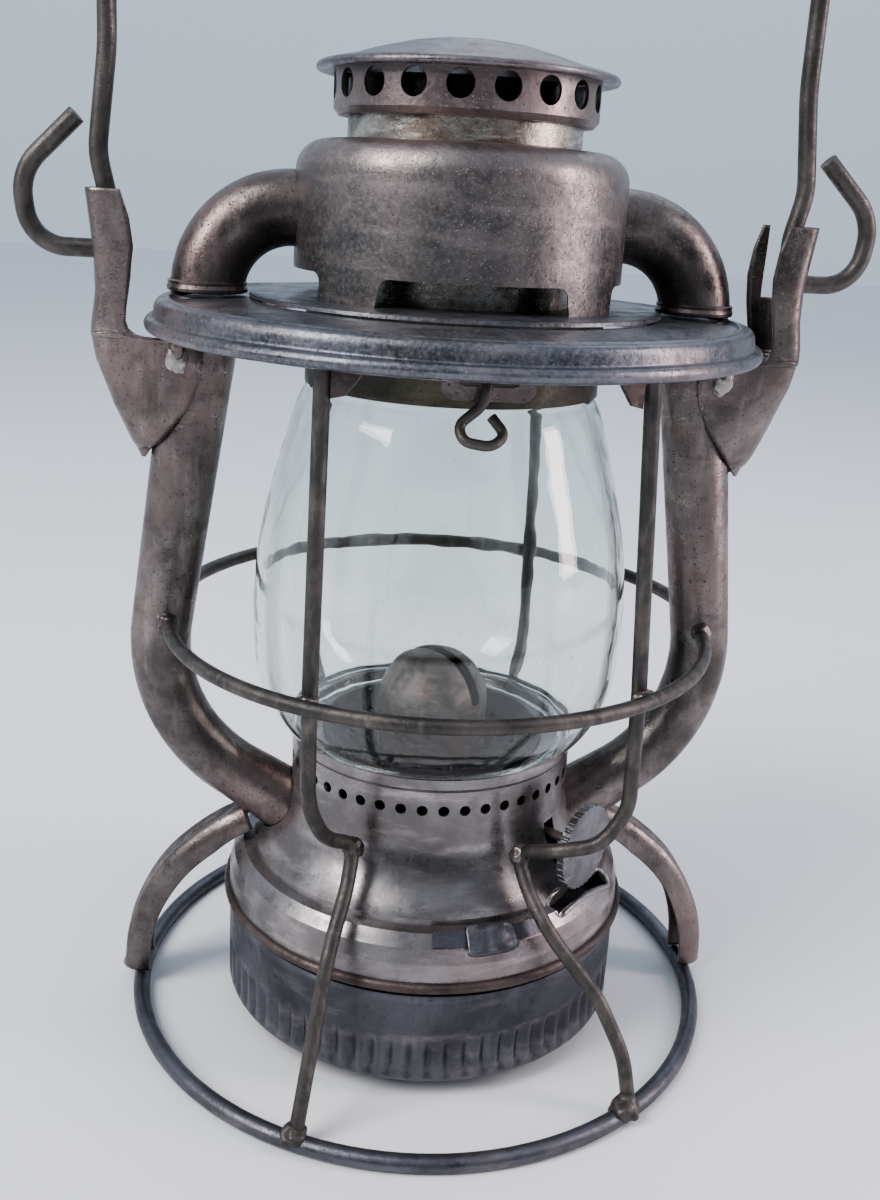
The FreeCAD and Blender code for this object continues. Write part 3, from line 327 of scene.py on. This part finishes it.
def lathe(name, profile, body, slot_name, segments=160, shape=None, look=None, sharp=38.0):
    """A closed (radius, level) profile turned about the axis; shape bends each point."""
    bm = bmesh.new()
    rings = []
    for i in range(segments):
        angle = 2 * math.pi * i / segments
        ring = []
        for radius, level in profile:
            if shape:
                radius, level = shape(radius, level, angle)
            ring.append(bm.verts.new((radius * math.cos(angle) * MM,
                                      radius * math.sin(angle) * MM, level * MM)))
        rings.append(ring)
    count = len(profile)
    for i in range(segments):
        here, after = rings[i], rings[(i + 1) % segments]
        for j in range(count):
            k = (j + 1) % count
            bm.faces.new((here[j], after[j], after[k], here[k]))
    bmesh.ops.remove_doubles(bm, verts=bm.verts, dist=1e-6)
    return add_mesh(name, bm, body, slot_name, look, sharp)


def curve_points(points, steps=6):
    """A smooth run through the points of an open profile."""
    out = []
    for i in range(len(points) - 1):
        p0 = points[max(i - 1, 0)]
        p1, p2 = points[i], points[i + 1]
        p3 = points[min(i + 2, len(points) - 1)]
        for step in range(steps):
            t = step / steps
            out.append(tuple(
                0.5 * (2 * b + (c - a) * t + (2 * a - 5 * b + 4 * c - d) * t * t
                       + (3 * b - a - 3 * c + d) * t ** 3)
                for a, b, c, d in zip(p0, p1, p2, p3)))
    out.append(points[-1])
    return out


def sheet_loop(points, thickness):
    """Closes an open profile into a sheet of the given thickness, inside its left hand."""
    inner = []
    for i, (x, y) in enumerate(points):
        ahead = points[min(i + 1, len(points) - 1)]
        back = points[max(i - 1, 0)]
        along = Vector((ahead[0] - back[0], ahead[1] - back[1])).normalized()
        inner.append((x - along.y * thickness, y + along.x * thickness))
    return list(points) + inner[::-1]


def unevenness(amount, scale, seed):
    """Slight dents and waviness of thin hand-worked sheet."""
    def shape(radius, level, angle):
        spot = Vector((math.cos(angle), math.sin(angle), level * 0.02)) * scale
        return radius + amount * noise.noise(spot + Vector((seed, 0, 0))), level
    return shape


def blob(name, centre, size, body, seed, flat=(1.0, 1.0, 1.0), look="solder", slot_name="wire"):
    """A lump of solder."""
    bm = bmesh.new()
    bmesh.ops.create_icosphere(bm, subdivisions=4, radius=1.0)
    for vert in bm.verts:
        bulge = 1.0 + 0.30 * noise.noise(vert.co * 1.3 + Vector((seed, 3.0, 0)))
        bulge += 0.08 * noise.noise(vert.co * 5.0 + Vector((0, seed, 0)))
        vert.co = Vector(vert.co[i] * bulge * size * flat[i] * MM for i in range(3))
        vert.co += Vector(centre) * MM
    return add_mesh(name, bm, body, slot_name, look, sharp=80.0)


# ------------------------------------------------------------------ guard plate
plate_r = high("guard_plate").x
plate_top = high("guard_plate").z
plate_low = low("guard_plate").z
DIMPLES = ((-97.5, 62.0), (-73.0, 62.5), (88.0, 62.0), (112.0, 61.0))
PLATE_OPENING = 51.5


def plate_shape(radius, level, angle):
    """Two shallow dimples front and back, and the plate's gentle waviness."""
    for bearing, at in DIMPLES:
        gap = (math.degrees(angle) - bearing + 180.0) % 360.0 - 180.0
        across = math.radians(gap) * at / 5.2
        if level > plate_top - 2.0:
            level += 0.55 * math.exp(-across ** 2 - ((radius - at) / 2.6) ** 2)
    wave = noise.noise(Vector((math.cos(angle), math.sin(angle), radius * 0.03)) * 1.7)
    return radius, level - 0.25 + 0.25 * wave


rim = curve_points([(plate_r - 5.4, plate_top - 0.5), (plate_r - 3.6, plate_top - 0.8),
                    (plate_r - 2.7, plate_top - 2.0), (plate_r - 2.4, plate_top - 3.6),
                    (plate_r - 2.1, plate_top - 4.8), (plate_r - 0.7, plate_low + 3.2),
                    (plate_r - 0.05, plate_low + 2.0), (plate_r - 0.5, plate_low + 0.7),
                    (plate_r - 1.8, plate_low + 0.15), (plate_r - 2.9, plate_low + 0.9),
                    (plate_r - 3.1, plate_low + 2.2)], 5)
ridge = curve_points([(PLATE_OPENING, plate_top - 0.1), (58.0, plate_top - 0.2),
                      (66.0, plate_top - 0.45), (70.4, plate_top - 0.75),
                      (72.0, plate_top - 0.15), (plate_r - 5.4, plate_top - 0.5)], 5)
outline = ridge[:-1] + rim
plate = lathe("guard_plate_sheet", sheet_loop(outline, -0.8), "frame", "plate_tin",
              segments=240, shape=plate_shape)
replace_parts(plate, "guard_plate")

# ------------------------------------------------------------------ globe
globe_low, globe_high = low("globe").z, high("globe").z
globe_max = high("globe").x
outer = curve_points([(37.4, globe_low + 0.8), (38.4, globe_low + 3.0), (42.2, 85.8),
                      (47.0, 92.6), (49.9, 102.0), (globe_max, 116.0), (globe_max - 0.3, 126.0),
                      (49.4, 138.0), (47.0, 150.0), (43.4, 163.0), (40.2, 173.5),
                      (38.0, 178.0), (36.6, 180.0), (36.3, 184.0), (36.3, globe_high)], 7)
outer = [(min(r, globe_max), z) for r, z in outer]
inner = [(r - 2.1, z) for r, z in outer[3:]]
globe_loop = outer + [(35.3, globe_high + 0.0)] + inner[::-1] + [(35.6, globe_low)]
globe_loop += [(36.6, globe_low)]
globe = lathe("globe_glass", globe_loop, "globe", "glass", segments=192,
              shape=unevenness(0.16, 1.6, 4.0), sharp=60.0)
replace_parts(globe, "globe")

# ------------------------------------------------------------------ fount skirt with flutes
fount_r = high("fount_shell").x
fount_low = low("fount_shell").z
fount_high = high("fount_shell").z
FLUTES = 70
FLUTE_DEPTH = 1.4


def fount_shape(radius, level, angle):
    """Upright flutes pressed into the lower half of the skirt."""
    if radius > fount_r - 1.6 and level < fount_low + 16.0:
        rise = (level - fount_low - 1.2) / 12.5
        window = max(0.0, math.sin(math.pi * min(max(rise, 0.0), 1.0))) ** 0.6
        ripple = 0.5 + 0.5 * math.cos(FLUTES * angle)
        radius -= FLUTE_DEPTH * window * ripple ** 2.0
    spot = Vector((math.cos(angle), math.sin(angle), level * 0.03)) * 1.4
    return radius - 0.12 + 0.12 * noise.noise(spot), level


skirt = [(fount_r - 0.5, fount_low), (fount_r, fount_low + 0.6)]
skirt += [(fount_r, fount_low + 1.2 + 0.75 * i) for i in range(20)]
skirt += [(fount_r - 0.1, fount_low + 20.0), (fount_r - 0.1, 29.0), (fount_r + 0.0, 30.4)]
skirt += curve_points([(fount_r - 0.3, 31.3), (55.2, 32.2), (55.1, 38.4), (51.6, 42.0),
                       (40.0, 43.7), (30.0, 44.3), (17.1, fount_high)], 4)
fount = lathe("fount_tank", sheet_loop(skirt, 0.7), "fount", "fount_tin",
              segments=FLUTES * 8, shape=fount_shape)
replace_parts(fount, "fount_shell")

# ------------------------------------------------------------------ cap
crown = high("cap_dome").z
brim = high("cap_dome").x
top = curve_points([(0.02, crown), (7.0, crown - 0.3), (12.5, crown - 0.9), (14.0, crown - 1.5),
                    (15.5, crown - 1.4), (19.0, crown - 2.3), (24.0, crown - 3.6),
                    (29.0, crown - 5.1), (33.5, crown - 6.2), (brim - 1.4, crown - 6.7),
                    (brim - 0.3, crown - 7.3), (brim, crown - 8.1), (brim - 0.5, crown - 8.8),
                    (brim - 1.5, crown - 8.9)], 6)
cap_loop = [(max(r, 0.02), z) for r, z in top] + [(33.0, crown - 7.9), (29.0, crown - 6.3),
                                                  (24.0, crown - 4.7), (19.0, crown - 3.4),
                                                  (8.0, crown - 1.8), (0.02, crown - 1.5)]
cap = lathe("cap_crown", cap_loop, "top", "drum_tin", shape=unevenness(0.25, 1.5, 9.0),
            look="plate_tin")
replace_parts(cap, "cap_dome")

# ------------------------------------------------------------------ solder
hoop_front = (low("guard_hoop_front").z + high("guard_hoop_front").z) / 2
hoop_rear = (low("guard_hoop_rear").z + high("guard_hoop_rear").z) / 2
LUMPS = (
    ("solder_hoop_front_left", (-36.2, -61.7, hoop_front), 2.5, (1.1, 0.8, 0.9)),
    ("solder_hoop_front_right", (44.8, -55.6, hoop_front), 2.6, (1.1, 0.8, 0.9)),
    ("solder_hoop_rear_left", (-37.6, 61.0, hoop_rear), 2.5, (1.1, 0.8, 0.9)),
    ("solder_hoop_rear_right", (37.6, 61.0, hoop_rear), 2.5, (1.1, 0.8, 0.9)),
    ("solder_tube_front_left", (-73.6, -7.9, hoop_front), 2.9, (1.0, 0.8, 1.1)),
    ("solder_tube_front_right", (73.6, -7.9, hoop_front), 2.9, (1.0, 0.8, 1.1)),
    ("solder_tube_rear_left", (-73.6, 7.9, hoop_rear), 2.9, (1.0, 0.8, 1.1)),
    ("solder_tube_rear_right", (73.6, 7.9, hoop_rear), 2.9, (1.0, 0.8, 1.1)),
    ("solder_neck_front_left", (-23.2, -39.6, 65.0), 2.7, (1.0, 0.9, 1.0)),
    ("solder_neck_front_right", (20.6, -41.2, 63.6), 2.7, (1.0, 0.9, 1.0)),
    ("solder_neck_rear_left", (-22.8, 39.8, 65.0), 2.7, (1.0, 0.9, 1.0)),
    ("solder_neck_rear_right", (22.8, 39.8, 65.0), 2.7, (1.0, 0.9, 1.0)),
)
for number, (name, centre, size, flat) in enumerate(LUMPS):
    blob(name, centre, size, "frame", 1.7 * number, flat, look="tin")
for side in (-1, 1):
    label = "right" if side > 0 else "left"
    for face, place in ((-1, "front"), (1, "rear")):
        blob("solder_ear_%s_%s" % (label, place), (side * 69.6, face * 10.5, 184.6), 3.0,
             "frame", 7.0 + side + face, (0.9, 0.35, 1.25), slot_name="tin")
        blob("stub_ear_%s_%s" % (label, place), (side * 69.4, face * 11.0, 189.0), 2.1,
             "frame", 3.0 + side + face, (0.9, 0.9, 2.0), look="tin", slot_name="tin")

# ------------------------------------------------------------------ bail ears
SHEET = 0.9


def pressed_sheet(name, rows, body, slot_name, thickness=SHEET, gap=None, look=None):
    """A thin pressed piece from rows of points across it, thickened towards its inside."""
    bm = bmesh.new()
    grid = [[bm.verts.new(Vector(point) * MM) for point in row] for row in rows]
    columns = len(grid[0])
    for i in range(len(grid) - 1):
        for j in range(columns - 1):
            if not (gap and gap(i, j)):
                bm.faces.new((grid[i][j], grid[i][j + 1], grid[i + 1][j + 1], grid[i + 1][j]))
    loose = [v for v in bm.verts if not v.link_faces]
    bmesh.ops.delete(bm, geom=loose, context="VERTS")
    bmesh.ops.recalc_face_normals(bm, faces=bm.faces)
    middle = rows[len(rows) // 2]
    inside = sum((Vector(point) for point in middle), Vector()) / columns
    crest = Vector(middle[columns // 2])
    nearest = min(bm.faces, key=lambda f: (f.calc_center_median() - crest * MM).length)
    if nearest.normal.dot(crest - inside) < 0:
        bmesh.ops.reverse_faces(bm, faces=bm.faces)
    mesh = bpy.data.meshes.new(name)
    bm.to_mesh(mesh)
    bm.free()
    mesh.shade_smooth()
    obj = bpy.data.objects.new(name, mesh)
    bpy.context.scene.collection.objects.link(obj)
    wear(obj, slot_name, look)
    skin = obj.modifiers.new("sheet", "SOLIDIFY")
    skin.thickness = thickness * MM
    skin.offset = -1.0
    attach(obj, body)
    return obj


# Outer and free edges are (level, distance from the axis) pairs, from the toe upwards.
EAR_DEPTH = 10.2
SWING_LEVEL = 205.2
WING_TOP = 188.7
SHORT_WING_TOP = 186.5
OUTER_EDGE = ((158.2, 79.9), (163.5, 82.9), (171.7, 86.6), (183.0, 90.4), (189.0, 91.2),
              (193.0, 90.8), (200.0, 89.8), (209.0, 89.9), (216.0, 90.7), (223.8, 91.6))
INNER_EDGE = ((158.2, 78.6), (160.2, 77.3), (163.9, 73.4), (171.2, 67.6), (177.6, 64.6),
              (183.0, 63.3), (WING_TOP, 63.6), (188.95, 72.0), (189.3, 76.5), (190.1, 79.6),
              (191.4, 81.2), (193.2, 81.9), (196.5, 81.7), (203.7, 80.4), (210.8, 79.7),
              (217.7, 80.6), (223.8, 82.4))
SHORT_EDGE = INNER_EDGE[:6] + ((SHORT_WING_TOP, 63.6), (186.8, 74.0), (187.3, 81.0), (188.4, 85.4),
                               (190.2, 86.6), (196.5, 86.2), (208.0, 85.4), (223.8, 85.4))
LEVELS = [158.2 + 0.8 * i for i in range(35)] + [186.2, 186.5, 186.65, 186.8, 187.0, 187.3,
                                                 187.8]
LEVELS += [188.3, 188.7, 188.82, 188.95, 189.1, 189.3, 189.7, 190.1, 190.7, 191.4, 192.2]
LEVELS += [193.2 + 0.8 * i for i in range(15)] + [SWING_LEVEL]
LEVELS += [206.0 + 0.81 * i for i in range(23)]
GAP_FROM = 84.1
GAP_DEPTH = 6.2
GAP_COLUMNS = range(9, 20)
TUBE_TOP_LEVEL, TUBE_TOP_OUT, TUBE_TOP_RADIUS = 198.7, 62.9, 9.3
TUBE_BEND_LEVEL, TUBE_BEND_OUT, TUBE_TAPER = 84.2, 79.5, 1.2


def edge_at(edge, level):
    """The distance from the axis of an edge at a level."""
    for (z0, x0), (z1, x1) in zip(edge, edge[1:]):
        if level <= z1:
            return x0 + (x1 - x0) * (level - z0) / (z1 - z0)
    return edge[-1][1]


def tube_at(level):
    """Centre and radius of a side tube's upper run."""
    share = (TUBE_TOP_LEVEL - level) / (TUBE_TOP_LEVEL - TUBE_BEND_LEVEL)
    centre = TUBE_TOP_OUT + share * (TUBE_BEND_OUT - TUBE_TOP_OUT)
    return centre, TUBE_TOP_RADIUS - TUBE_TAPER * share


def ear_side(level, edge):
    """Points from the free edge of one flange round to the middle of the web."""
    web = edge_at(OUTER_EDGE, level)
    free = edge_at(edge, level)
    centre, radius = tube_at(level)
    depth = EAR_DEPTH
    power = 4.4
    if level <= (WING_TOP if edge is INNER_EDGE else SHORT_WING_TOP):
        hug = math.sqrt(max(radius ** 2 - (free - centre) ** 2, 4.0)) + 0.95
        depth = min(EAR_DEPTH, hug)
        power = 2.5 + 1.9 * max(0.0, (level - 172.0) / 17.0)
    first, second = 0.5, 0.75
    if level > 190.5 and edge is INNER_EDGE:
        first = math.asin(((GAP_FROM - free) / (web - free)) ** (power / 2)) / (math.pi / 2)
        second = math.acos((GAP_DEPTH / depth) ** (power / 2)) / (math.pi / 2)
    stops = [first * i / 9 for i in range(9)]
    stops += [first + (second - first) * i / 11 for i in range(11)]
    stops += [second + (1.0 - second) * i / 7 for i in range(8)]
    points = []
    for stop in stops:
        angle = stop * math.pi / 2
        x = free + (web - free) * max(math.sin(angle), 0.0) ** (2 / power)
        y = depth * max(math.cos(angle), 0.0) ** (2 / power)
        points.append((x, y))
    return points


def ear(name, side, node):
    """A stamped ear: a round-cornered channel that wraps on to the side tube.

    The bail leaves the channel to the rear, so the right ear's rear flange is slotted and
    the left ear's stops at the swing level."""
    rows = []
    for level in LEVELS:
        half = ear_side(level, INNER_EDGE)
        other = half if side > 0 else ear_side(level, SHORT_EDGE)
        row = half + [(x, -y) for x, y in reversed(other[:-1])]
        rows.append([])
        for x, y in row:
            swell = 0.22 * noise.noise(Vector((x, y, level)) * 0.09 + Vector((side, 0, 0)))
            rows[-1].append(((x + swell) * side, y * side, level))
    middle = len(rows[0]) // 2

    def swing_gap(i, j):
        if LEVELS[i] < SWING_LEVEL - 0.01:
            return False
        return j in GAP_COLUMNS if side > 0 else j > middle + 5

    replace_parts(pressed_sheet(name, rows, "frame", "tin", gap=swing_gap), node)


ear("ear_sheet_right", 1, "ear_right")
ear("ear_sheet_left", -1, "ear_left")

# ------------------------------------------------------------------ legs
LEG_CENTRE = Vector((33.26, 6.57))
LEG_BEND = 49.0
LEG_START, LEG_END = math.radians(69.3), math.radians(2.84)
LEG_HALF = 6.1
LEG_FLANGE = 2.2
LEG_GROOVE = 2.4
LEG_OUT, LEG_ENDS_BEND, LEG_FOOT = 82.2, 9.0, 4.6
BEND_SHARE = 0.9
LEG_STEPS, LEG_COLUMNS, FLANGE_COLUMNS = 56, 40, 6
ARCH_COLUMNS = LEG_COLUMNS - 2 * FLANGE_COLUMNS
for side in (-1, 1):
    label = "right" if side > 0 else "left"
    rows = []
    for step in range(LEG_STEPS + 1):
        share = step / LEG_STEPS
        if share <= BEND_SHARE:
            angle = LEG_START + (LEG_END - LEG_START) * share / BEND_SHARE
            way = Vector((math.cos(angle), math.sin(angle)))
            spine = LEG_CENTRE + way * LEG_BEND
        else:
            way = Vector((1.0, 0.0))
            drop = (LEG_ENDS_BEND - LEG_FOOT) * (share - BEND_SHARE) / 0.1
            spine = Vector((LEG_OUT, LEG_ENDS_BEND - drop))
        fade = min(1.0, share / 0.15, (1.0 - share) / 0.12)
        groove = LEG_GROOVE * max(0.0, fade)
        flange = LEG_FLANGE * min(1.0, 0.35 + share * 3.0)
        pinch = 1.0 - 0.10 * max(0.0, (share - 0.93) / 0.07) ** 2
        row = []
        for column in range(LEG_COLUMNS + 1):
            turn = -math.pi / 2 + math.pi * (column - FLANGE_COLUMNS) / ARCH_COLUMNS
            past = column - FLANGE_COLUMNS - ARCH_COLUMNS
            if column < FLANGE_COLUMNS:
                out, across = -flange * (FLANGE_COLUMNS - column) / FLANGE_COLUMNS, -LEG_HALF
            elif past > 0:
                out, across = -flange * past / FLANGE_COLUMNS, LEG_HALF
            else:
                out = LEG_HALF * math.cos(turn) - groove * math.exp(-(turn / 0.36) ** 2)
                across = LEG_HALF * math.sin(turn)
            spot = spine + way * out
            wobble = 0.2 * noise.noise(Vector((spot.x, across, spot.y)) * 0.08)
            row.append(((spot.x + wobble) * side, across * pinch * side, spot.y))
        rows.append(row)
    leg = pressed_sheet("leg_sheet_" + label, rows, "frame", "tin")
    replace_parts(leg, "leg_" + label)

# ------------------------------------------------------------------ catch on the shoulder
SHOULDER = Vector((53.0, 47.7))
DOWN_SLOPE = Vector((0.768, -0.640))
OFF_SLOPE = Vector((0.640, 0.768))


def on_shoulder(bearing, lead, lift):
    """A point on the sloping shoulder: lead down the slope, lift off its face."""
    spot = SHOULDER + DOWN_SLOPE * lead + OFF_SLOPE * lift
    angle = math.radians(bearing)
    return (spot.x * math.cos(angle), spot.x * math.sin(angle), spot.y)


COVER_STEPS = 24
COVER_START, COVER_SWEEP = -84.0, 14.0
COVER_LEAD, COVER_HALF, COVER_RISE = 2.3, 4.4, 2.1
rows = []
for step in range(COVER_STEPS + 1):
    share = step / COVER_STEPS
    end = 1.0 - 0.22 * abs(2.0 * share - 1.0) ** 6
    skew = 1.0 - 0.12 * share
    row = []
    for column in range(COVER_STEPS + 1):
        turn = math.pi * column / COVER_STEPS
        across = -math.copysign(abs(math.cos(turn)) ** 0.45, math.cos(turn))
        lift = COVER_RISE * max(math.sin(turn), 0.0) ** 0.5 * end
        dent = 0.25 * noise.noise(Vector((share * 4.0, across * 2.0, 7.0)))
        row.append(on_shoulder(COVER_START + COVER_SWEEP * share,
                               COVER_LEAD + COVER_HALF * across * end * skew,
                               0.1 + lift * (1.0 + dent)))
    rows.append(row)
cover = pressed_sheet("catch_cover", rows, "frame", "tin", thickness=0.55, look="fount_tin")
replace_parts(cover, "catch_keeper")

# ------------------------------------------------------------------ lip of the knob's opening
# The opening lies across the knob's shaft: KNOB_OUT is the way of the shaft from the axis,
# KNOB_ALONG the way of the slot, and the lip is open where the shaft passes it.
KNOB_OUT = Vector((0.725374, -0.688355))
KNOB_ALONG = Vector((0.688355, 0.725374))
SLOT_CENTRE = Vector((51.15, 3.4))
SLOT_HALF = Vector((2.35, 13.4))
SLOT_CORNER = 1.9
LIP_WIRE = 0.75
LIP_LIFT = 0.15
LIP_END = 6.0
LIP_STEP = 0.6
LIP_SMOOTH = 3
SINK_FROM, SINK_OVER = 10.8, 1.4
SINK_DEPTH, SINK_THINNER = 0.5, 0.30
BEAD_SIDES = 16
FLARE_CENTRE = Vector((62.28, 68.87))
FLARE_RADIUS = 22.95
BODY_FACE = ((49.8, 49.6), (50.1, 48.1), (53.0, 47.7), (55.6, 44.6), (56.7, 40.6), (57.0, 35.4))


def face_level(radius):
    """The level of the body shell's outer face at a radius."""
    if radius < BODY_FACE[0][0]:
        sag = FLARE_RADIUS ** 2 - (FLARE_CENTRE.x - radius) ** 2
        return FLARE_CENTRE.y - math.sqrt(sag)
    for (near, upper), (far, lower) in zip(BODY_FACE, BODY_FACE[1:]):
        if radius <= far:
            return upper + (lower - upper) * (radius - near) / (far - near)
    return BODY_FACE[-1][1]


def bead_along(name, points, sizes, body, slot_name, look):
    """A round bead of changing thickness along an open run of points, closed at both ends."""
    bm = bmesh.new()
    rings = []
    for i, point in enumerate(points):
        way = (points[min(i + 1, len(points) - 1)] - points[max(i - 1, 0)]).normalized()
        side = way.cross(Vector((0.0, 0.0, 1.0))).normalized()
        up = side.cross(way)
        size = sizes[i] * min(1.0, 0.35 + 0.2 * min(i, len(points) - 1 - i))
        ring = []
        for k in range(BEAD_SIDES):
            angle = math.tau * k / BEAD_SIDES
            off = (side * math.cos(angle) + up * math.sin(angle)) * size
            ring.append(bm.verts.new((point + off) * MM))
        rings.append(ring)
    for here, after in zip(rings, rings[1:]):
        for k in range(BEAD_SIDES):
            n = (k + 1) % BEAD_SIDES
            bm.faces.new((here[k], here[n], after[n], after[k]))
    bm.faces.new(rings[0])
    bm.faces.new(rings[-1])
    return add_mesh(name, bm, body, slot_name, look)


corner = SLOT_HALF - Vector((SLOT_CORNER, SLOT_CORNER))
flat_run = [Vector((-SLOT_HALF.x, LIP_END))]
for across, along, start in ((-1, 1, 180.0), (1, 1, 90.0), (1, -1, 0.0), (-1, -1, -90.0)):
    for step in range(9):
        turn = math.radians(start - 11.25 * step)
        flat_run.append(Vector((across * corner.x + SLOT_CORNER * math.cos(turn),
                                along * corner.y + SLOT_CORNER * math.sin(turn))))
flat_run.append(Vector((-SLOT_HALF.x, -LIP_END)))
flat_spots = []
for here, after in zip(flat_run, flat_run[1:]):
    pieces = max(1, round((after - here).length / LIP_STEP))
    flat_spots += [here + (after - here) * (k / pieces) for k in range(pieces)]
flat_spots = [SLOT_CENTRE + spot for spot in flat_spots + [flat_run[-1]]]
spots = [KNOB_OUT * spot.x + KNOB_ALONG * spot.y for spot in flat_spots]
levels = [face_level(spot.length) for spot in spots]
lip_run, lip_sizes = [], []
for i, (spot, flat) in enumerate(zip(spots, flat_spots)):
    # The front end sinks level with the sheet, so that the catch strip slides over it.
    sink = min(max((SLOT_CENTRE.y - flat.y - SINK_FROM) / SINK_OVER, 0.0), 1.0)
    window = levels[max(0, i - LIP_SMOOTH):i + LIP_SMOOTH + 1]
    level = sum(window) / len(window)
    if sink:
        level = min(level, levels[i])
    lip_run.append(Vector((spot.x, spot.y, level + LIP_LIFT - SINK_DEPTH * sink)))
    lip_sizes.append(LIP_WIRE - SINK_THINNER * sink)
bead_along("knob_opening_lip", lip_run, lip_sizes, "frame", "body_tin", "body_tin")

# ------------------------------------------------------------------ wire ends on the base ring
ring_level = (low("base_ring").z + high("base_ring").z) / 2
FEET = (("front_left", (-36.9, -73.4), 4.0), ("front_right", (48.6, -66.7), 4.6),
        ("rear_left", (-37.0, 73.2), 4.0), ("rear_right", (37.0, 73.2), 4.0))
for number, (place, (x, y), size) in enumerate(FEET):
    foot = blob("wire_foot_" + place, (x, y, ring_level + 1.6), size, "frame", 4.0 + number,
                (0.85, 0.85, 0.75), look="wire")
    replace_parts(foot, "wire_curl_" + place)

# ------------------------------------------------------------------ stage, light, camera
bm = bmesh.new()
bmesh.ops.create_grid(bm, x_segments=8, y_segments=8, size=4.0)
floor_mesh = bpy.data.meshes.new("floor")
bm.to_mesh(floor_mesh)
bm.free()
floor = bpy.data.objects.new("floor", floor_mesh)
floor_mesh.materials.append(plain_floor("floor"))
bpy.context.scene.collection.objects.link(floor)


def area_light(name, place, size, power, colour):
    """A rectangular studio light that faces the middle of the lantern."""
    data = bpy.data.lights.new(name, "AREA")
    data.shape = "RECTANGLE"
    data.size, data.size_y = size
    data.energy = power
    data.color = colour
    lamp = bpy.data.objects.new(name, data)
    lamp.location = place
    lamp.rotation_euler = (MIDDLE - Vector(place)).to_track_quat("-Z", "Y").to_euler()
    bpy.context.scene.collection.objects.link(lamp)


LAMPS = (("key", (-0.85, -0.45, 0.95), (0.55, 0.9), 15.0, (1.0, 0.97, 0.95)),
         ("side", (1.0, -0.25, 0.5), (0.25, 0.9), 8.0, (1.0, 0.84, 0.84)),
         ("back", (0.5, 0.9, 1.3), (1.2, 0.6), 3.0, (0.84, 0.91, 1.0)))
MIDDLE = Vector((0.0, 0.0, 0.15))
for name, place, size, power, colour in LAMPS:
    area_light(name, place, size, power, colour)


def studio_world():
    """A pale room, brighter overhead and darker low down in front."""
    world = bpy.data.worlds.new("studio")
    world.use_nodes = True
    tree = world.node_tree
    link = tree.links.new
    back = tree.nodes["Background"]
    coords = tree.nodes.new("ShaderNodeTexCoord")
    split = tree.nodes.new("ShaderNodeSeparateXYZ")
    link(coords.outputs["Generated"], split.inputs[0])
    ramp = tree.nodes.new("ShaderNodeValToRGB")
    ramp.color_ramp.elements[0].position = 0.42
    ramp.color_ramp.elements[0].color = (0.10, 0.11, 0.13, 1.0)
    ramp.color_ramp.elements[1].position = 0.95
    ramp.color_ramp.elements[1].color = (0.72, 0.82, 0.96, 1.0)
    middle = ramp.color_ramp.elements.new(0.60)
    middle.color = (0.52, 0.60, 0.70, 1.0)
    tilt = tree.nodes.new("ShaderNodeMath")
    tilt.operation = "MULTIPLY_ADD"
    tilt.inputs[1].default_value = 0.22
    link(split.outputs["Y"], tilt.inputs[0])
    height = tree.nodes.new("ShaderNodeMath")
    height.operation = "MULTIPLY_ADD"
    height.inputs[1].default_value = 0.5
    height.inputs[2].default_value = 0.5
    link(split.outputs["Z"], height.inputs[0])
    link(height.outputs[0], tilt.inputs[2])
    link(tilt.outputs[0], ramp.inputs["Fac"])
    link(ramp.outputs["Color"], back.inputs["Color"])
    back.inputs["Strength"].default_value = 0.85
    bpy.context.scene.world = world


studio_world()

HEADING, PITCH, ROLL = (math.radians(v) for v in (-6.65, 18.17, 3.31))
EYE = Vector((-0.03734, -0.32381, 0.22690))
forward = Vector((-math.sin(HEADING) * math.cos(PITCH), math.cos(HEADING) * math.cos(PITCH),
                  -math.sin(PITCH)))
level_right = Vector((math.cos(HEADING), math.sin(HEADING), 0))
level_up = level_right.cross(forward)
right = math.cos(ROLL) * level_right + math.sin(ROLL) * level_up
up = -math.sin(ROLL) * level_right + math.cos(ROLL) * level_up
camera_data = bpy.data.cameras.new("camera")
camera_data.sensor_fit = "VERTICAL"
camera_data.sensor_height = 36.0
camera_data.lens = 37.08
camera_data.clip_start = 0.01
camera = bpy.data.objects.new("camera", camera_data)
turn = Matrix((right, up, -forward)).transposed()
camera.matrix_world = Matrix.Translation(EYE) @ turn.to_4x4()
bpy.context.scene.collection.objects.link(camera)
bpy.context.scene.camera = camera
bpy.context.scene.view_settings.view_transform = "AgX"
bpy.context.scene.view_settings.look = "AgX - Medium High Contrast"
